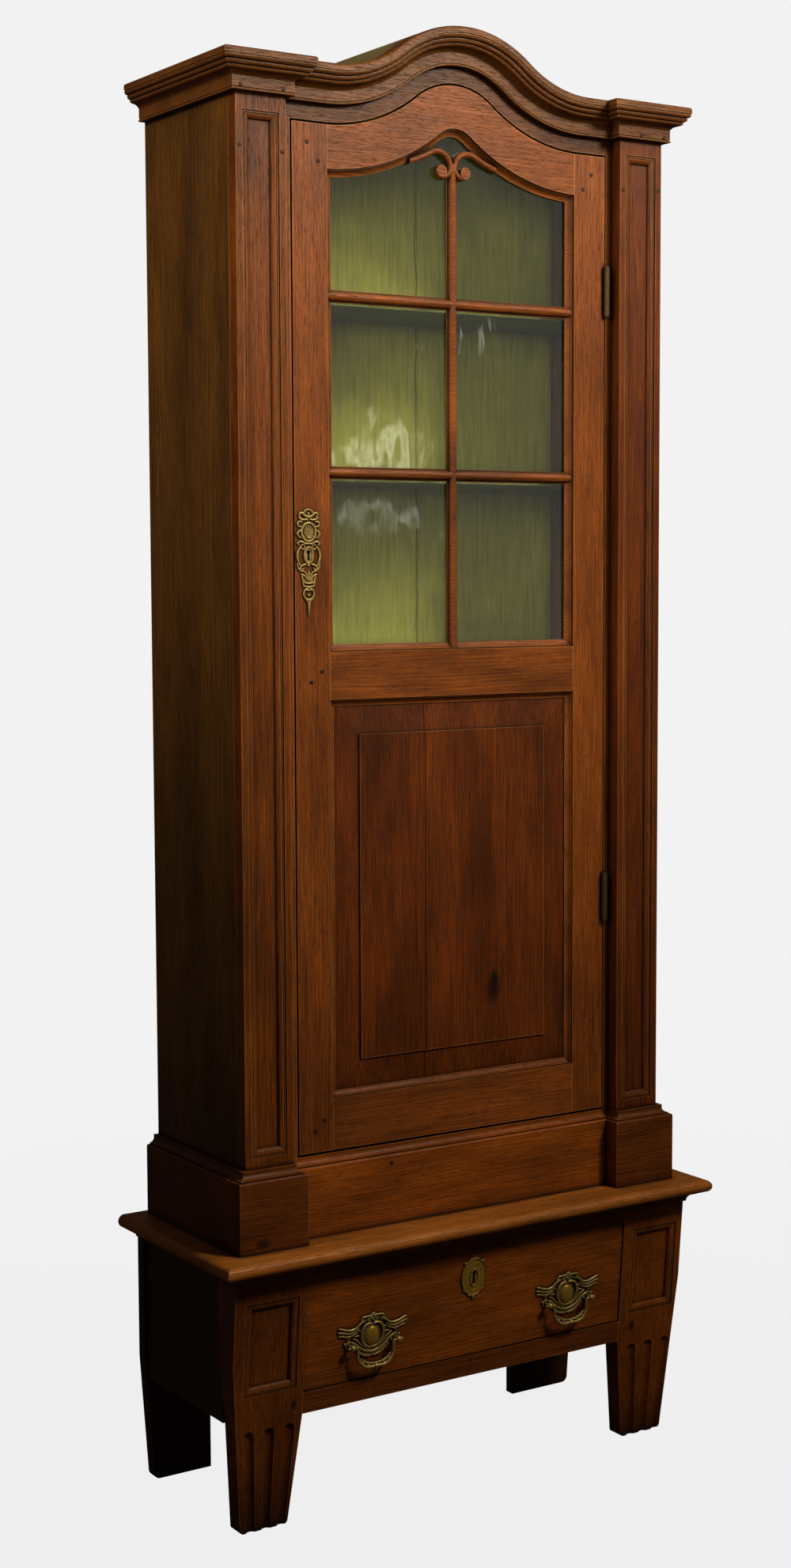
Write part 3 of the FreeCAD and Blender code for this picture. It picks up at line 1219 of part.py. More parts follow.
# Every node, checked and written to its own file
NODES = (
    "stand_top", "bed_moulding", "front_leg_left", "front_leg_right", "rear_leg_left",
    "rear_leg_right", "side_panel_left", "side_panel_right", "back_rail", "drawer_rail", "apron",
    "drawer_runners", "drawer_front", "drawer_side_left", "drawer_side_right", "drawer_back",
    "drawer_bottom", "drawer_escutcheon", "drawer_lock", "drawer_bolt", "handle_plate_left",
    "handle_plate_right", "handle_posts", "bail_left", "bail_right", "side_board_left",
    "side_board_right", "back_boards", "carcase_bottom", "shelf_lower", "shelf_middle",
    "shelf_upper", "frame_stile_left", "frame_stile_right", "frame_head", "pilaster_left",
    "pilaster_right", "plinth_block_left", "plinth_block_right", "plinth_front", "roof",
    "capital_left", "capital_right", "cornice_arch", "door_stile_left", "door_stile_right",
    "door_top_rail", "door_mid_rail", "door_bottom_rail", "door_panel", "glazing_bars",
    "glazing_scrolls", "glass_moulding", "panel_moulding", "glass_panes", "door_escutcheon",
    "door_lock", "door_bolt", "hinge_frame_leaves", "hinge_door_leaves")

doc.recompute()
for item in doc.Objects:
    if "Invalid" in item.State or "Error" in item.State:
        raise RuntimeError("%s did not build: %s" % (item.Label, item.State))
os.makedirs("parts", exist_ok=True)
for name in NODES:
    found = doc.getObjectsByLabel(name)
    if len(found) != 1:
        raise RuntimeError("%d pieces are called %s" % (len(found), name))
    shape = found[0].Shape
    if shape.isNull() or not shape.isValid():
        raise RuntimeError(name + " has no valid shape")
    shape.exportStep("parts/" + name + ".step")
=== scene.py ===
"""Looks of the narrow glazed oak cabinet on its one-drawer stand."""
import math

import bmesh
import bpy
from mathutils import Matrix, Vector


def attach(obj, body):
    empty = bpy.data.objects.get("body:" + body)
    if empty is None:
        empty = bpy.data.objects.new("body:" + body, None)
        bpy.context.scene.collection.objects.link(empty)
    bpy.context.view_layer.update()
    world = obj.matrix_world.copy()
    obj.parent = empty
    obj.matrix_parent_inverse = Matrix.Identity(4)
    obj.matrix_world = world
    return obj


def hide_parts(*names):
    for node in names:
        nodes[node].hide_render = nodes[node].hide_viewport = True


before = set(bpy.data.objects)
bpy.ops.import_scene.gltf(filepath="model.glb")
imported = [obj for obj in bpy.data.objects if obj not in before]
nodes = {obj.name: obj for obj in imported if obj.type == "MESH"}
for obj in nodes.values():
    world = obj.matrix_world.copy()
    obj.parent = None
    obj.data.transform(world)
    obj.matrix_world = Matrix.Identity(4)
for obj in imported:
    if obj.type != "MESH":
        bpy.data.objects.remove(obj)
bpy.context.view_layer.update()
MM = 0.001

# The eye stands in front and to the left, at the height of the door's keyhole
AZIMUTH = math.radians(-32.98)
PITCH = math.radians(5.087)
ROLL = math.radians(-0.243)
EYE = Vector((-1.96165, -2.94926, 1.37612))
# Focal length and height of the photograph, both in its pixels
FOCAL_LENGTH = 2937.7
PHOTO_HEIGHT = 1982
SENSOR = 36

lens = bpy.data.cameras.new("eye")
lens.sensor_fit = "VERTICAL"
lens.sensor_height = SENSOR
lens.sensor_width = SENSOR
lens.lens = SENSOR * FOCAL_LENGTH / PHOTO_HEIGHT
lens.clip_start = 0.05
camera = bpy.data.objects.new("eye", lens)
bpy.context.scene.collection.objects.link(camera)
ahead = Vector((-math.sin(AZIMUTH) * math.cos(PITCH), math.cos(AZIMUTH) * math.cos(PITCH),
                -math.sin(PITCH)))
across = Vector((math.cos(AZIMUTH), math.sin(AZIMUTH), 0))
upward = across.cross(ahead)
right = across * math.cos(ROLL) + upward * math.sin(ROLL)
top = upward * math.cos(ROLL) - across * math.sin(ROLL)
camera.matrix_world = (Matrix.Translation(EYE)
                       @ Matrix((right, top, -ahead)).transposed().to_4x4())
bpy.context.scene.camera = camera


def rgb(text):
    """Linear colour of an sRGB hex value."""
    parts = [int(text[k:k + 2], 16) / 255 for k in (1, 3, 5)]
    return [p / 12.92 if p <= 0.04045 else ((p + 0.055) / 1.055) ** 2.4 for p in parts] + [1]


def add(tree, kind, sockets=(), **settings):
    """Adds one shader node with its settings, and sets or links its sockets."""
    made = tree.nodes.new("ShaderNode" + kind)
    for key, value in settings.items():
        setattr(made, key, value)
    for key, value in dict(sockets).items():
        if isinstance(value, bpy.types.NodeSocket):
            tree.links.new(value, made.inputs[key])
        else:
            made.inputs[key].default_value = value
    return made


def new_material(name):
    material = bpy.data.materials.new(name)
    material.use_nodes = True
    material.node_tree.nodes.clear()
    return material, material.node_tree


def mix(tree, share, first, second):
    """Colour between two colours."""
    return add(tree, "Mix", {0: share, 6: first, 7: second}, data_type="RGBA").outputs[2]


def ramp(tree, value, low, high, start=0.0, end=1.0):
    """A value taken from low..high to start..end, and held beyond them."""
    return add(tree, "MapRange", {"Value": value, "From Min": low, "From Max": high,
                                  "To Min": start, "To Max": end}).outputs[0]


def calc(tree, operation, *values):
    return add(tree, "Math", dict(enumerate(values)), operation=operation).outputs[0]


def vector(tree, operation, *values):
    return add(tree, "VectorMath", dict(enumerate(values)), operation=operation).outputs


def scaled(tree, colour, share):
    return add(tree, "VectorMath", {0: colour, "Scale": share}, operation="SCALE").outputs[0]


def noise(tree, place, scale, detail, roughness=0.5):
    """Noise whose grains are one part in scale of a metre long on each axis."""
    stretched = add(tree, "Mapping", {"Vector": place, "Scale": scale}).outputs[0]
    return add(tree, "TexNoise", {"Vector": stretched, "Scale": 1, "Detail": detail,
                                  "Roughness": roughness}).outputs


def bump(tree, height, strength, distance):
    return add(tree, "Bump", {"Height": height, "Strength": strength,
                              "Distance": distance}).outputs[0]


def principled(tree, **sockets):
    """Ends a material with one principled surface."""
    surface = add(tree, "BsdfPrincipled", sockets)
    add(tree, "OutputMaterial", {"Surface": surface.outputs[0]})


GRAIN = {"x": (0, math.pi / 2, 0), "y": (math.pi / 2, 0, 0), "z": (0, 0, 0)}
# Share of dark in the growth rings, and of painted shade in the corners of the oak
FIGURE = 0.5
CORNER_SHADE = 0.88


def oak(name, grain, seed, light, dark, gloss=0.42, knots=(), joint=None, foot=0.0, worn=0.9):
    """Waxed old oak, plain sawn: dark open pores along the grain, growth rings cut at a slant,
    a soft sheen on the worn flats, and painted shade with some dirt in the corners. grain is the way
    that it runs, knots are places with a radius, joint is the X of a glued joint, and foot is the
    height below which it turns darker towards the bottom, all in metres. worn is how pale the edges are
    painted, as rubbed wear and painted highlight."""
    material, tree = new_material(name)
    place = add(tree, "TexCoord").outputs["Object"]
    # the board's own length becomes Z, and the seed moves each board to its own part of the tree
    board = add(tree, "Mapping", {"Vector": place, "Rotation": GRAIN[grain],
                                  "Location": (0.37 * seed, 0.23 * seed, 0.61 * seed)}).outputs[0]
    # slow sway of the fibres, 90 mm across and 0.4 m along
    sway = noise(tree, board, (11, 11, 2.5), 1)["Color"]
    push = vector(tree, "SUBTRACT", sway, (0.5, 0.5, 0.5))[0]
    wavy = vector(tree, "MULTIPLY_ADD", push, (0.016, 0.016, 0.0), board)[0]
    # growth rings 5 mm apart round a heart that leans to the board
    slant = add(tree, "Mapping", {"Vector": wavy, "Rotation": (0.05, 0.03, 0)}).outputs[0]
    rings = add(tree, "TexWave", {"Vector": slant, "Scale": 62, "Distortion": 2.5, "Detail": 2,
                                  "Detail Scale": 0.4},
                wave_type="RINGS", rings_direction="Z", wave_profile="SAW").outputs["Fac"]
    # grain lines 1.6 mm wide and 0.14 m long, pores 0.9 mm wide and 16 mm long, and clouds of a
    # hand's width
    streaks = noise(tree, wavy, (560, 560, 7), 4, 0.7)[0]
    pores = noise(tree, wavy, (1100, 1100, 62), 2)[0]
    clouds = noise(tree, board, (13, 13, 4), 5, 0.62)[0]
    wood = mix(tree, ramp(tree, streaks, 0.3, 0.68), rgb(dark), rgb(light))
    late = calc(tree, "MULTIPLY", calc(tree, "POWER", rings, 3.0), FIGURE)
    wood = mix(tree, late, wood, rgb(dark))
    pit = ramp(tree, pores, 0.56, 0.66)
    wood = mix(tree, calc(tree, "MULTIPLY", pit, 0.55), wood, rgb("#1c0b03"))
    wood = scaled(tree, wood, ramp(tree, clouds, 0.3, 0.7, 0.5, 1.34))
    for x, y, z, size in knots:
        # a dark round knot, drawn out along the grain
        away = vector(tree, "SUBTRACT", place, (x, y, z))[0]
        squeeze = {"x": (0.55, 0.3, 1), "y": (1, 0.3, 1), "z": (1, 0.3, 0.55)}[grain]
        reach = vector(tree, "LENGTH", vector(tree, "MULTIPLY", away, squeeze)[0])["Value"]
        wood = mix(tree, ramp(tree, reach, 0.35 * size, size, 0.85, 0.0), wood, rgb("#160803"))
    if joint is not None:
        # two boards glued edge to edge: a dark line 2 mm wide, as the glue has let go a little
        across_x = add(tree, "SeparateXYZ", {0: place}).outputs[0]
        off = calc(tree, "ABSOLUTE", calc(tree, "SUBTRACT", across_x, joint))
        wood = mix(tree, ramp(tree, off, 0.0006, 0.0015, 0.85, 0.0), wood, rgb("#1c0b03"))
    if foot:
        # darker towards the bottom, below the height foot
        height = add(tree, "SeparateXYZ", {0: place}).outputs[2]
        wood = scaled(tree, wood, ramp(tree, height, 0.35 * foot, foot, 0.5, 1.0))
    # edges painted paler over 2.5 mm, as rubbed wear and as a painted highlight: there the rounded normal
    # turns away from the face
    corner = add(tree, "AmbientOcclusion", {"Distance": 0.018}, samples=6).outputs["AO"]
    face = add(tree, "NewGeometry").outputs["True Normal"]
    eased = add(tree, "Bevel", {"Radius": 0.0025}, samples=4).outputs[0]
    turned = vector(tree, "DOT_PRODUCT", face, eased)["Value"]
    edge = ramp(tree, turned, 0.985, 0.8, 0.0, worn)
    edge = calc(tree, "MULTIPLY", edge, ramp(tree, corner, 0.75, 0.95))
    edge = calc(tree, "MULTIPLY", edge, clouds)
    wood = mix(tree, edge, wood, rgb("#c48a4c"))
    # painted shade within 18 mm of a corner, with some dirt and old wax
    wood = mix(tree, ramp(tree, corner, 0.35, 0.95, CORNER_SHADE, 0), wood, rgb("#120702"))
    # painted shade in the quirks, within 5 mm
    quirk_shade = add(tree, "AmbientOcclusion", {"Distance": 0.005}, samples=4).outputs["AO"]
    wood = mix(tree, ramp(tree, quirk_shade, 0.5, 0.97, 0.9, 0), wood, rgb("#0d0502"))
    sheen = ramp(tree, streaks, 0.3, 0.7, gloss + 0.14, gloss)
    relief = calc(tree, "MULTIPLY_ADD", pit, -0.6, streaks)
    principled(tree, **{"Base Color": wood, "Roughness": calc(tree, "MULTIPLY_ADD", pit, 0.25, sheen),
                    "Normal": bump(tree, relief, 0.6, 0.0003), "IOR": 1.5,
                    "Specular IOR Level": 0.18})
    return material


def green_paint(name, seed, grain, light="#8b8b46", dark="#777836", crack=None):
    """Old matt oil paint on boards: brushed along the board, thin over the joints, with painted shade in the
    corners. crack is the X of a split in it, in metres."""
    material, tree = new_material(name)
    place = add(tree, "TexCoord").outputs["Object"]
    board = add(tree, "Mapping", {"Vector": place, "Rotation": GRAIN[grain],
                                  "Location": (seed, 0.7 * seed, 0.3 * seed)}).outputs[0]
    # brush marks 4 mm wide, and patches a hand's width across where the paint has aged
    brush = noise(tree, board, (180, 180, 12), 3)[0]
    aged = noise(tree, board, (8, 8, 8), 5, 0.65)[0]
    paint = mix(tree, ramp(tree, brush, 0.35, 0.7), rgb(dark), rgb(light))
    paint = scaled(tree, paint, ramp(tree, aged, 0.3, 0.7, 0.75, 1.15))
    if crack is not None:
        # the paint has split along a board joint, in a line 2 mm wide that wanders by 5 mm
        across_x = add(tree, "SeparateXYZ", {0: place}).outputs[0]
        wander = noise(tree, place, (0, 0, 14), 5)[0]
        drift = calc(tree, "MULTIPLY_ADD", wander, 0.014, across_x)
        off = calc(tree, "ABSOLUTE", calc(tree, "SUBTRACT", drift, crack + 0.007))
        paint = mix(tree, ramp(tree, off, 0.0005, 0.0016, 0.8, 0.0), paint, rgb("#1d1c0a"))
    # painted shade within 20 mm of a corner
    corner = add(tree, "AmbientOcclusion", {"Distance": 0.02}, samples=6).outputs["AO"]
    paint = mix(tree, ramp(tree, corner, 0.4, 0.95, 0.6, 0), paint, rgb("#23240e"))
    principled(tree, **{"Base Color": paint, "Roughness": 0.7,
                    "Normal": bump(tree, brush, 0.4, 0.0004), "Specular IOR Level": 0.12})
    return material


def old_brass(name, light="#b39c58", dark="#3f3314"):
    """Cast and chased brass, never lacquered: dark in the hollows, rubbed bright on the high
    spots."""
    material, tree = new_material(name)
    place = add(tree, "TexCoord").outputs["Object"]
    # tarnish in spots of 3 mm
    spots = add(tree, "TexNoise", {"Vector": place, "Scale": 330, "Detail": 4,
                                   "Roughness": 0.6}).outputs[0]
    hollow = add(tree, "AmbientOcclusion", {"Distance": 0.004}, samples=8).outputs["AO"]
    worn = calc(tree, "MULTIPLY", spots, ramp(tree, hollow, 0.45, 0.95))
    worn = ramp(tree, worn, 0.12, 0.6)
    # dull patina in the hollows, bare metal only where hands and cloths have rubbed
    principled(tree, **{"Base Color": mix(tree, worn, rgb(dark), rgb(light)),
                    "Metallic": ramp(tree, worn, 0.0, 1.0, 0.3, 0.62),
                    "Roughness": ramp(tree, worn, 0.0, 1.0, 0.68, 0.46),
                    "Normal": bump(tree, spots, 0.5, 0.0003)})
    return material


def forged_iron(name, light="#56504a", dark="#2a2622"):
    """Forged lock parts: dark scale with a dull shine."""
    material, tree = new_material(name)
    place = add(tree, "TexCoord").outputs["Object"]
    # hammered scale, 8 mm across
    scale = add(tree, "TexNoise", {"Vector": place, "Scale": 125, "Detail": 5,
                                   "Roughness": 0.6}).outputs[0]
    tone = ramp(tree, scale, 0.35, 0.7)
    principled(tree, **{"Base Color": mix(tree, tone, rgb(dark), rgb(light)), "Metallic": 1.0,
                    "Roughness": ramp(tree, tone, 0.0, 1.0, 0.65, 0.42),
                    "Normal": bump(tree, scale, 0.5, 0.0006)})
    return material


def drawn_glass(name):
    """Old drawn sheet glass: clear, a little green, with slow waves a hand's width long."""
    material, tree = new_material(name)
    place = add(tree, "TexCoord").outputs["Object"]
    waves = noise(tree, place, (13, 1, 7), 2)[0]
    glass = add(tree, "BsdfPrincipled", {
        "Base Color": rgb("#f1f2e4"), "Roughness": 0.0, "IOR": 1.5, "Transmission Weight": 1.0,
        "Specular IOR Level": 0.3, "Normal": bump(tree, waves, 1.0, 0.0013)})
    # light for the inside passes straight through
    clear = add(tree, "BsdfTransparent", {"Color": rgb("#e6ece0")})
    shadow = add(tree, "LightPath").outputs["Is Shadow Ray"]
    surface = add(tree, "MixShader", {0: shadow, 1: glass.outputs[0], 2: clear.outputs[0]})
    add(tree, "OutputMaterial", {"Surface": surface.outputs[0]})
    return material


# Light and dark wood of each board: the boards of an old piece never match, and some of these tones also
# hold painted light and shade
FRONT = ("#92501c", "#552808")
LINED = ("#86470f", "#401c05")
# DEEP is painted shade: darker wood for the low door panel and the right pilaster
DEEP = ("#76390f", "#3a1904")
# HEAD is painted shade under the cornice, on the frame's head
HEAD = ("#6b3c14", "#381c07")
CAP = ("#7b4a1b", "#3c1f08")
STAND = ("#8c4c18", "#502508")
# TOP is painted light: paler wood where light falls on the stand's top and its nose
TOP = ("#c47c33", "#8a4c16")
DRAWER = ("#aa5c18", "#63300a")
BLOCK = ("#854613", "#482206")
SIDE = ("#6d4818", "#40260a")
# SHADE is painted shade: dark wood for the stand's side panels, its rear legs and the back rail
SHADE = ("#4a2c0e", "#2c1706")
DUSTY = ("#8f8257", "#6a5f3a")
RAW = ("#a38660", "#7b6040")

UPRIGHT = {
    "pilaster_left": LINED, "pilaster_right": DEEP, "frame_stile_left": FRONT,
    "frame_stile_right": FRONT, "door_stile_left": FRONT, "door_stile_right": FRONT,
    "door_panel": DEEP, "front_leg_left": STAND, "front_leg_right": DRAWER,
    "side_board_left": SIDE, "side_board_right": SIDE, "rear_leg_left": SHADE,
    "rear_leg_right": SHADE}
LEVEL = {
    "stand_top": TOP, "bed_moulding": STAND, "drawer_rail": STAND, "apron": STAND,
    "back_rail": SHADE, "frame_head": HEAD, "plinth_front": DRAWER, "plinth_block_left": BLOCK,
    "plinth_block_right": BLOCK, "roof": DUSTY, "capital_left": CAP, "capital_right": CAP,
    "cornice_arch": CAP, "drawer_front": DRAWER, "door_top_rail": FRONT, "door_mid_rail": FRONT,
    "door_bottom_rail": FRONT, "glass_moulding": FRONT, "panel_moulding": FRONT,
    "glazing_bars": FRONT, "glazing_scrolls": FRONT, "drawer_back": RAW, "drawer_bottom": RAW}
ALONG_DEPTH = {"drawer_runners": RAW, "drawer_side_left": RAW, "drawer_side_right": RAW,
               "side_panel_left": SHADE, "side_panel_right": SHADE}


def coat(name, material):
    """The CAD piece gets one finish."""
    mesh = nodes[name].data
    mesh.materials.clear()
    mesh.materials.append(material)


# What single boards show: knots, the panel's glued joint and the darkened feet
SPECIAL = {
    "plinth_block_left": {"knots": [(-0.3577, -0.1265, 0.4296, 0.009)]},
    "door_panel": {"knots": [(0.0778, -0.082, 0.766, 0.009), (0.076, -0.082, 0.748, 0.016)],
                   "joint": -0.0482},
    "front_leg_left": {"knots": [(-0.306, -0.118, 0.182, 0.006)], "foot": 0.11},
    "front_leg_right": {"knots": [(0.318, -0.118, 0.186, 0.007)], "foot": 0.07}}

# Roughness of wood inside the drawer, and of wood that is waxed
DRY = 0.7
WAXED = 0.38
seed = 1
for grain, table in (("z", UPRIGHT), ("x", LEVEL), ("y", ALONG_DEPTH)):
    for name, (light, dark) in table.items():
        raw = light == RAW[0]
        coat(name, oak(("dry oak, " if raw else "waxed oak, ") + name, grain, seed, light, dark,
                       gloss=DRY if raw else WAXED, **SPECIAL.get(name, {})))
        seed += 1

coat("back_boards", green_paint("green oil paint, back", 1, "z", crack=0.0905))
# the shelves and the bottom take a darker copy of the same paint: painted shade
for k, name in enumerate(("carcase_bottom", "shelf_lower", "shelf_middle", "shelf_upper")):
    coat(name, green_paint("green oil paint, " + name, k + 2, "x", "#5c6135", "#4c5129"))
brass = old_brass("old cast brass")
gilt = old_brass("rubbed brass, yellow", "#bb9436", "#4e3e12")
# near-black sheets in the keyholes: painted shade, as the holes are dark
keyhole_shade = forged_iron("painted shade in the keyholes", "#120e0a", "#070504")
iron = forged_iron("forged iron")
# very dark brass on the hinges
hinge_brass = old_brass("very dark brass, hinges", "#4b3b1b", "#0e0904")
for name in ("handle_posts", "bail_left", "bail_right"):
    coat(name, brass)
for name in ("hinge_frame_leaves", "hinge_door_leaves"):
    coat(name, hinge_brass)
for name in ("drawer_lock", "drawer_bolt", "door_lock", "door_bolt"):
    coat(name, iron)
coat("glass_panes", drawn_glass("old drawn glass"))


def new_piece(name, bm, material):
    """Object of a finished bmesh."""
    mesh = bpy.data.meshes.new(name)
    bm.to_mesh(mesh)
    bm.free()
    mesh.materials.append(material)
    piece = bpy.data.objects.new(name, mesh)
    bpy.context.scene.collection.objects.link(piece)
    return piece


# Brass fittings, drawn in mm on their own face: u to the right, v up, w out of it
def on_face(x, y, z, lean=0.0):
    """Stands a fitting on a face at a place given in mm, and leans its top towards the viewer."""
    return (Matrix.Translation((x * MM, y * MM, z * MM)) @ Matrix.Rotation(lean + math.pi / 2, 4, "X")
            @ Matrix.Scale(MM, 4))


def curve_mesh(data):
    """The mesh that a curve makes."""
    holder = bpy.data.objects.new("drawing", data)
    mesh = bpy.data.meshes.new_from_object(holder)
    bpy.data.objects.remove(holder)
    bpy.data.curves.remove(data)
    return mesh


def ribs(lines):
    """Round cast ribs that swell and taper. A line is (height, closed, (u, v, radius), ...)."""
    data = bpy.data.curves.new("ribs", "CURVE")
    data.dimensions = "3D"
    data.bevel_depth = 1.0
    data.bevel_resolution = 2
    data.resolution_u = 4
    data.use_fill_caps = True
    for height, closed, *points in lines:
        spline = data.splines.new("NURBS")
        spline.points.add(len(points) - 1)
        for point, (u, v, radius) in zip(spline.points, points):
            point.co = (u, v, height + 0.8 * radius, 1)
            point.radius = radius
        spline.order_u = 3
        spline.use_cyclic_u = closed
        spline.use_endpoint_u = not closed
    return curve_mesh(data)


def sheet(outlines, low, thick):
    """Flat cast plate between closed outlines, the first one its edge and the others its holes."""
    data = bpy.data.curves.new("sheet", "CURVE")
    data.dimensions = "2D"
    data.fill_mode = "BOTH"
    data.extrude = thick / 2
    for outline in outlines:
        spline = data.splines.new("POLY")
        spline.points.add(len(outline) - 1)
        for point, (u, v) in zip(spline.points, outline):
            point.co = (u, v, 0, 1)
        spline.use_cyclic_u = True
    mesh = curve_mesh(data)
    mesh.transform(Matrix.Translation((0, 0, low + thick / 2)))
    return mesh


def oval(u, v, a, b, count=36):
    return [(u + a * math.cos(2 * math.pi * k / count), v + b * math.sin(2 * math.pi * k / count))
            for k in range(count)]


def rim(u, v, a, b, radius, height):
    """Closed rib on an oval."""
    return (height, True, *[(x, y, radius) for x, y in oval(u, v, a * 1.03, b * 1.03, 14)])


def key_shape(radius, half, depth):
    """Round hole with a slot that widens downwards."""
    turn = [math.radians(-60 + 300 * k / 16) for k in range(17)]
    return ([(radius * math.cos(t), radius * math.sin(t)) for t in turn]
            + [(-half, -depth), (half, -depth)])


def both(lines):
    """The lines and their twins on the other side of the middle."""
    return list(lines) + [(height, closed, *[(-u, v, radius) for u, v, radius in points])
                          for height, closed, *points in lines]


def fitting(name, body, metal, spot, lines=(), beads=(), plates=(), flat=0.85,
            stands_for=()):
    """One casting of ribs, beads and thin plates. A bead is (u, v, w, radius across, up, out),
    flat presses all of it onto its face, and stands_for names the CAD pieces it replaces."""
    bm = bmesh.new()
    made = [sheet(*plate) for plate in plates]
    if lines:
        made.append(ribs(lines))
    for mesh in made:
        bm.from_mesh(mesh)
        bpy.data.meshes.remove(mesh)
    for u, v, w, wide, tall, deep in beads:
        bmesh.ops.create_uvsphere(
            bm, u_segments=16, v_segments=10, radius=1,
            matrix=Matrix.Translation((u, v, w)) @ Matrix.Diagonal((wide, tall, deep, 1)))
    bmesh.ops.remove_doubles(bm, verts=bm.verts, dist=0.001)
    bmesh.ops.recalc_face_normals(bm, faces=bm.faces)
    for face in bm.faces:
        face.smooth = True
    bmesh.ops.transform(bm, matrix=spot @ Matrix.Diagonal((1, 1, flat, 1)), verts=bm.verts)
    piece = new_piece(name, bm, metal)
    piece.data.set_sharp_from_angle(angle=math.radians(50))
    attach(piece, body)
    if stands_for:
        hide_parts(*stands_for)


# The drawer's face leans back by 34.4 mm over the 396 mm of the stand, and passes y -136.5 at
# its top
STAND_HEIGHT = 396
LEAN = math.atan(34.4 / STAND_HEIGHT)
FACE_AT_TOP = -136.5
# Height of the handles, and the axis that the bails swing on, all in mm
HANDLE_Z = 262
BAIL_Y = -136.122
BAIL_Z = 252.992


def drawer_spot(x, z):
    """A place on the drawer's leaning face, in mm."""
    return on_face(x, FACE_AT_TOP + (STAND_HEIGHT - z) * math.tan(LEAN), z, LEAN)


# Drawer handle: pierced back plate with a crest, two wings, a scroll round an oval boss and a
# leafy foot
CREST_AND_WINGS = both([
    (0.9, False, (0, 32.4, 1.6), (9, 32.6, 1.6), (18.5, 31.6, 1.3)),
    (0.5, False, (16, 31, 1.3), (20, 29.5, 1.4), (20, 25.5, 1.5), (16, 23.5, 1.4), (12, 25.5, 1.2),
     (12.5, 28.5, 0.9)),
    (0.4, False, (0, 30, 1.5), (5, 29, 1.4), (9, 26, 1.5), (7, 22.5, 1.2), (3, 23, 1.0)),
    (0.6, False, (15, 27, 1.7), (22, 23.5, 1.9), (28, 17.5, 2.0), (36, 15, 2.1), (45, 16.5, 2.1),
     (53, 19.5, 2.0), (58.5, 21.5, 1.3)),
    (0.4, False, (24, 17, 1.4), (32, 11, 1.7), (42, 10.5, 1.9), (52, 14, 1.9), (59.5, 15.5, 1.3)),
    (0.2, False, (26, 11, 1.2), (34, 6.5, 1.5), (43, 5.5, 1.7), (51, 8.6, 1.7), (58, 9.2, 1.2)),
    (0.0, False, (17, 10, 1.1), (22, 12, 1.2), (27, 14, 1.1)),
    (0.2, False, (40, 4.5, 1.4), (43, 0, 1.3), (41, -3.5, 1.2))])
SCROLL_AND_FOOT = both([
    (1.2, False, (1.5, 20.5, 1.3), (8, 21.5, 1.9), (15, 18, 2.2), (19, 9.5, 2.3), (18.6, -2, 2.1),
     (14, -10.5, 1.9), (6.5, -15, 1.6), (0, -16, 1.4)),
    (0.0, False, (20, 3, 1.0), (25, 5, 1.2), (30, 4, 1.0)),
    (1.0, False, (37, -3.5, 1.9), (31, -5.5, 2.1), (24.5, -12, 2.2), (16, -18.6, 2.1), (7, -22, 1.9),
     (0, -23, 1.7)),
    (0.6, False, (34, 2, 1.3), (27, -1.5, 1.5), (21.5, -8, 1.6), (13, -14.5, 1.5), (5, -18.6, 1.4)),
    (0.0, False, (30, -12, 1.3), (22, -20, 1.5), (12, -26, 1.4), (5, -27.5, 1.3), (0, -26, 1.1)),
    (0.3, False, (27, -15.5, 1.4), (21, -23, 1.8), (12, -28.6, 1.8), (3, -29.6, 1.5)),
    (0.3, False, (19, -19, 1.2), (12.5, -23.6, 1.6), (4, -25.5, 1.3)),
    (0.0, False, (0, -24, 1.6), (3.5, -27.5, 1.4), (0, -30.6, 1.2))])
HANDLE_BEADS = [(0, 35.4, 2.2, 3.2, 2.2, 2.0), (-4, 34, 1.8, 1.6, 1.5, 1.5),
                (4, 34, 1.8, 1.6, 1.5, 1.5), (0, 26.5, 1.6, 2.2, 2.6, 1.7),
                (0, -29, 1.4, 2.3, 2.0, 1.5)]
for side in (-1, 1):
    HANDLE_BEADS += [
        (side * 57.6, 20.8, 1.7, 2.2, 1.7, 1.7), (side * 58.4, 14.8, 1.6, 2.0, 1.6, 1.6),
        (side * 57, 9, 1.4, 2.0, 1.6, 1.5), (side * 31, 16.4, 2.2, 1.7, 1.7, 1.9),
        (side * 27, -16, 1.6, 2.0, 2.0, 1.7), (side * 18.5, -22.8, 1.6, 1.9, 1.9, 1.6),
        (side * 10, -20.4, 2.4, 1.5, 1.5, 1.6), (side * 22.5, -13.4, 2.6, 1.5, 1.5, 1.6),
        (side * 40, -8, 1.2, 6.6, 6.6, 1.5), (side * 47, -4.5, 2.0, 2.2, 2.2, 2.0),
        (side * 33.5, -10.5, 2.0, 2.2, 2.2, 2.0)]
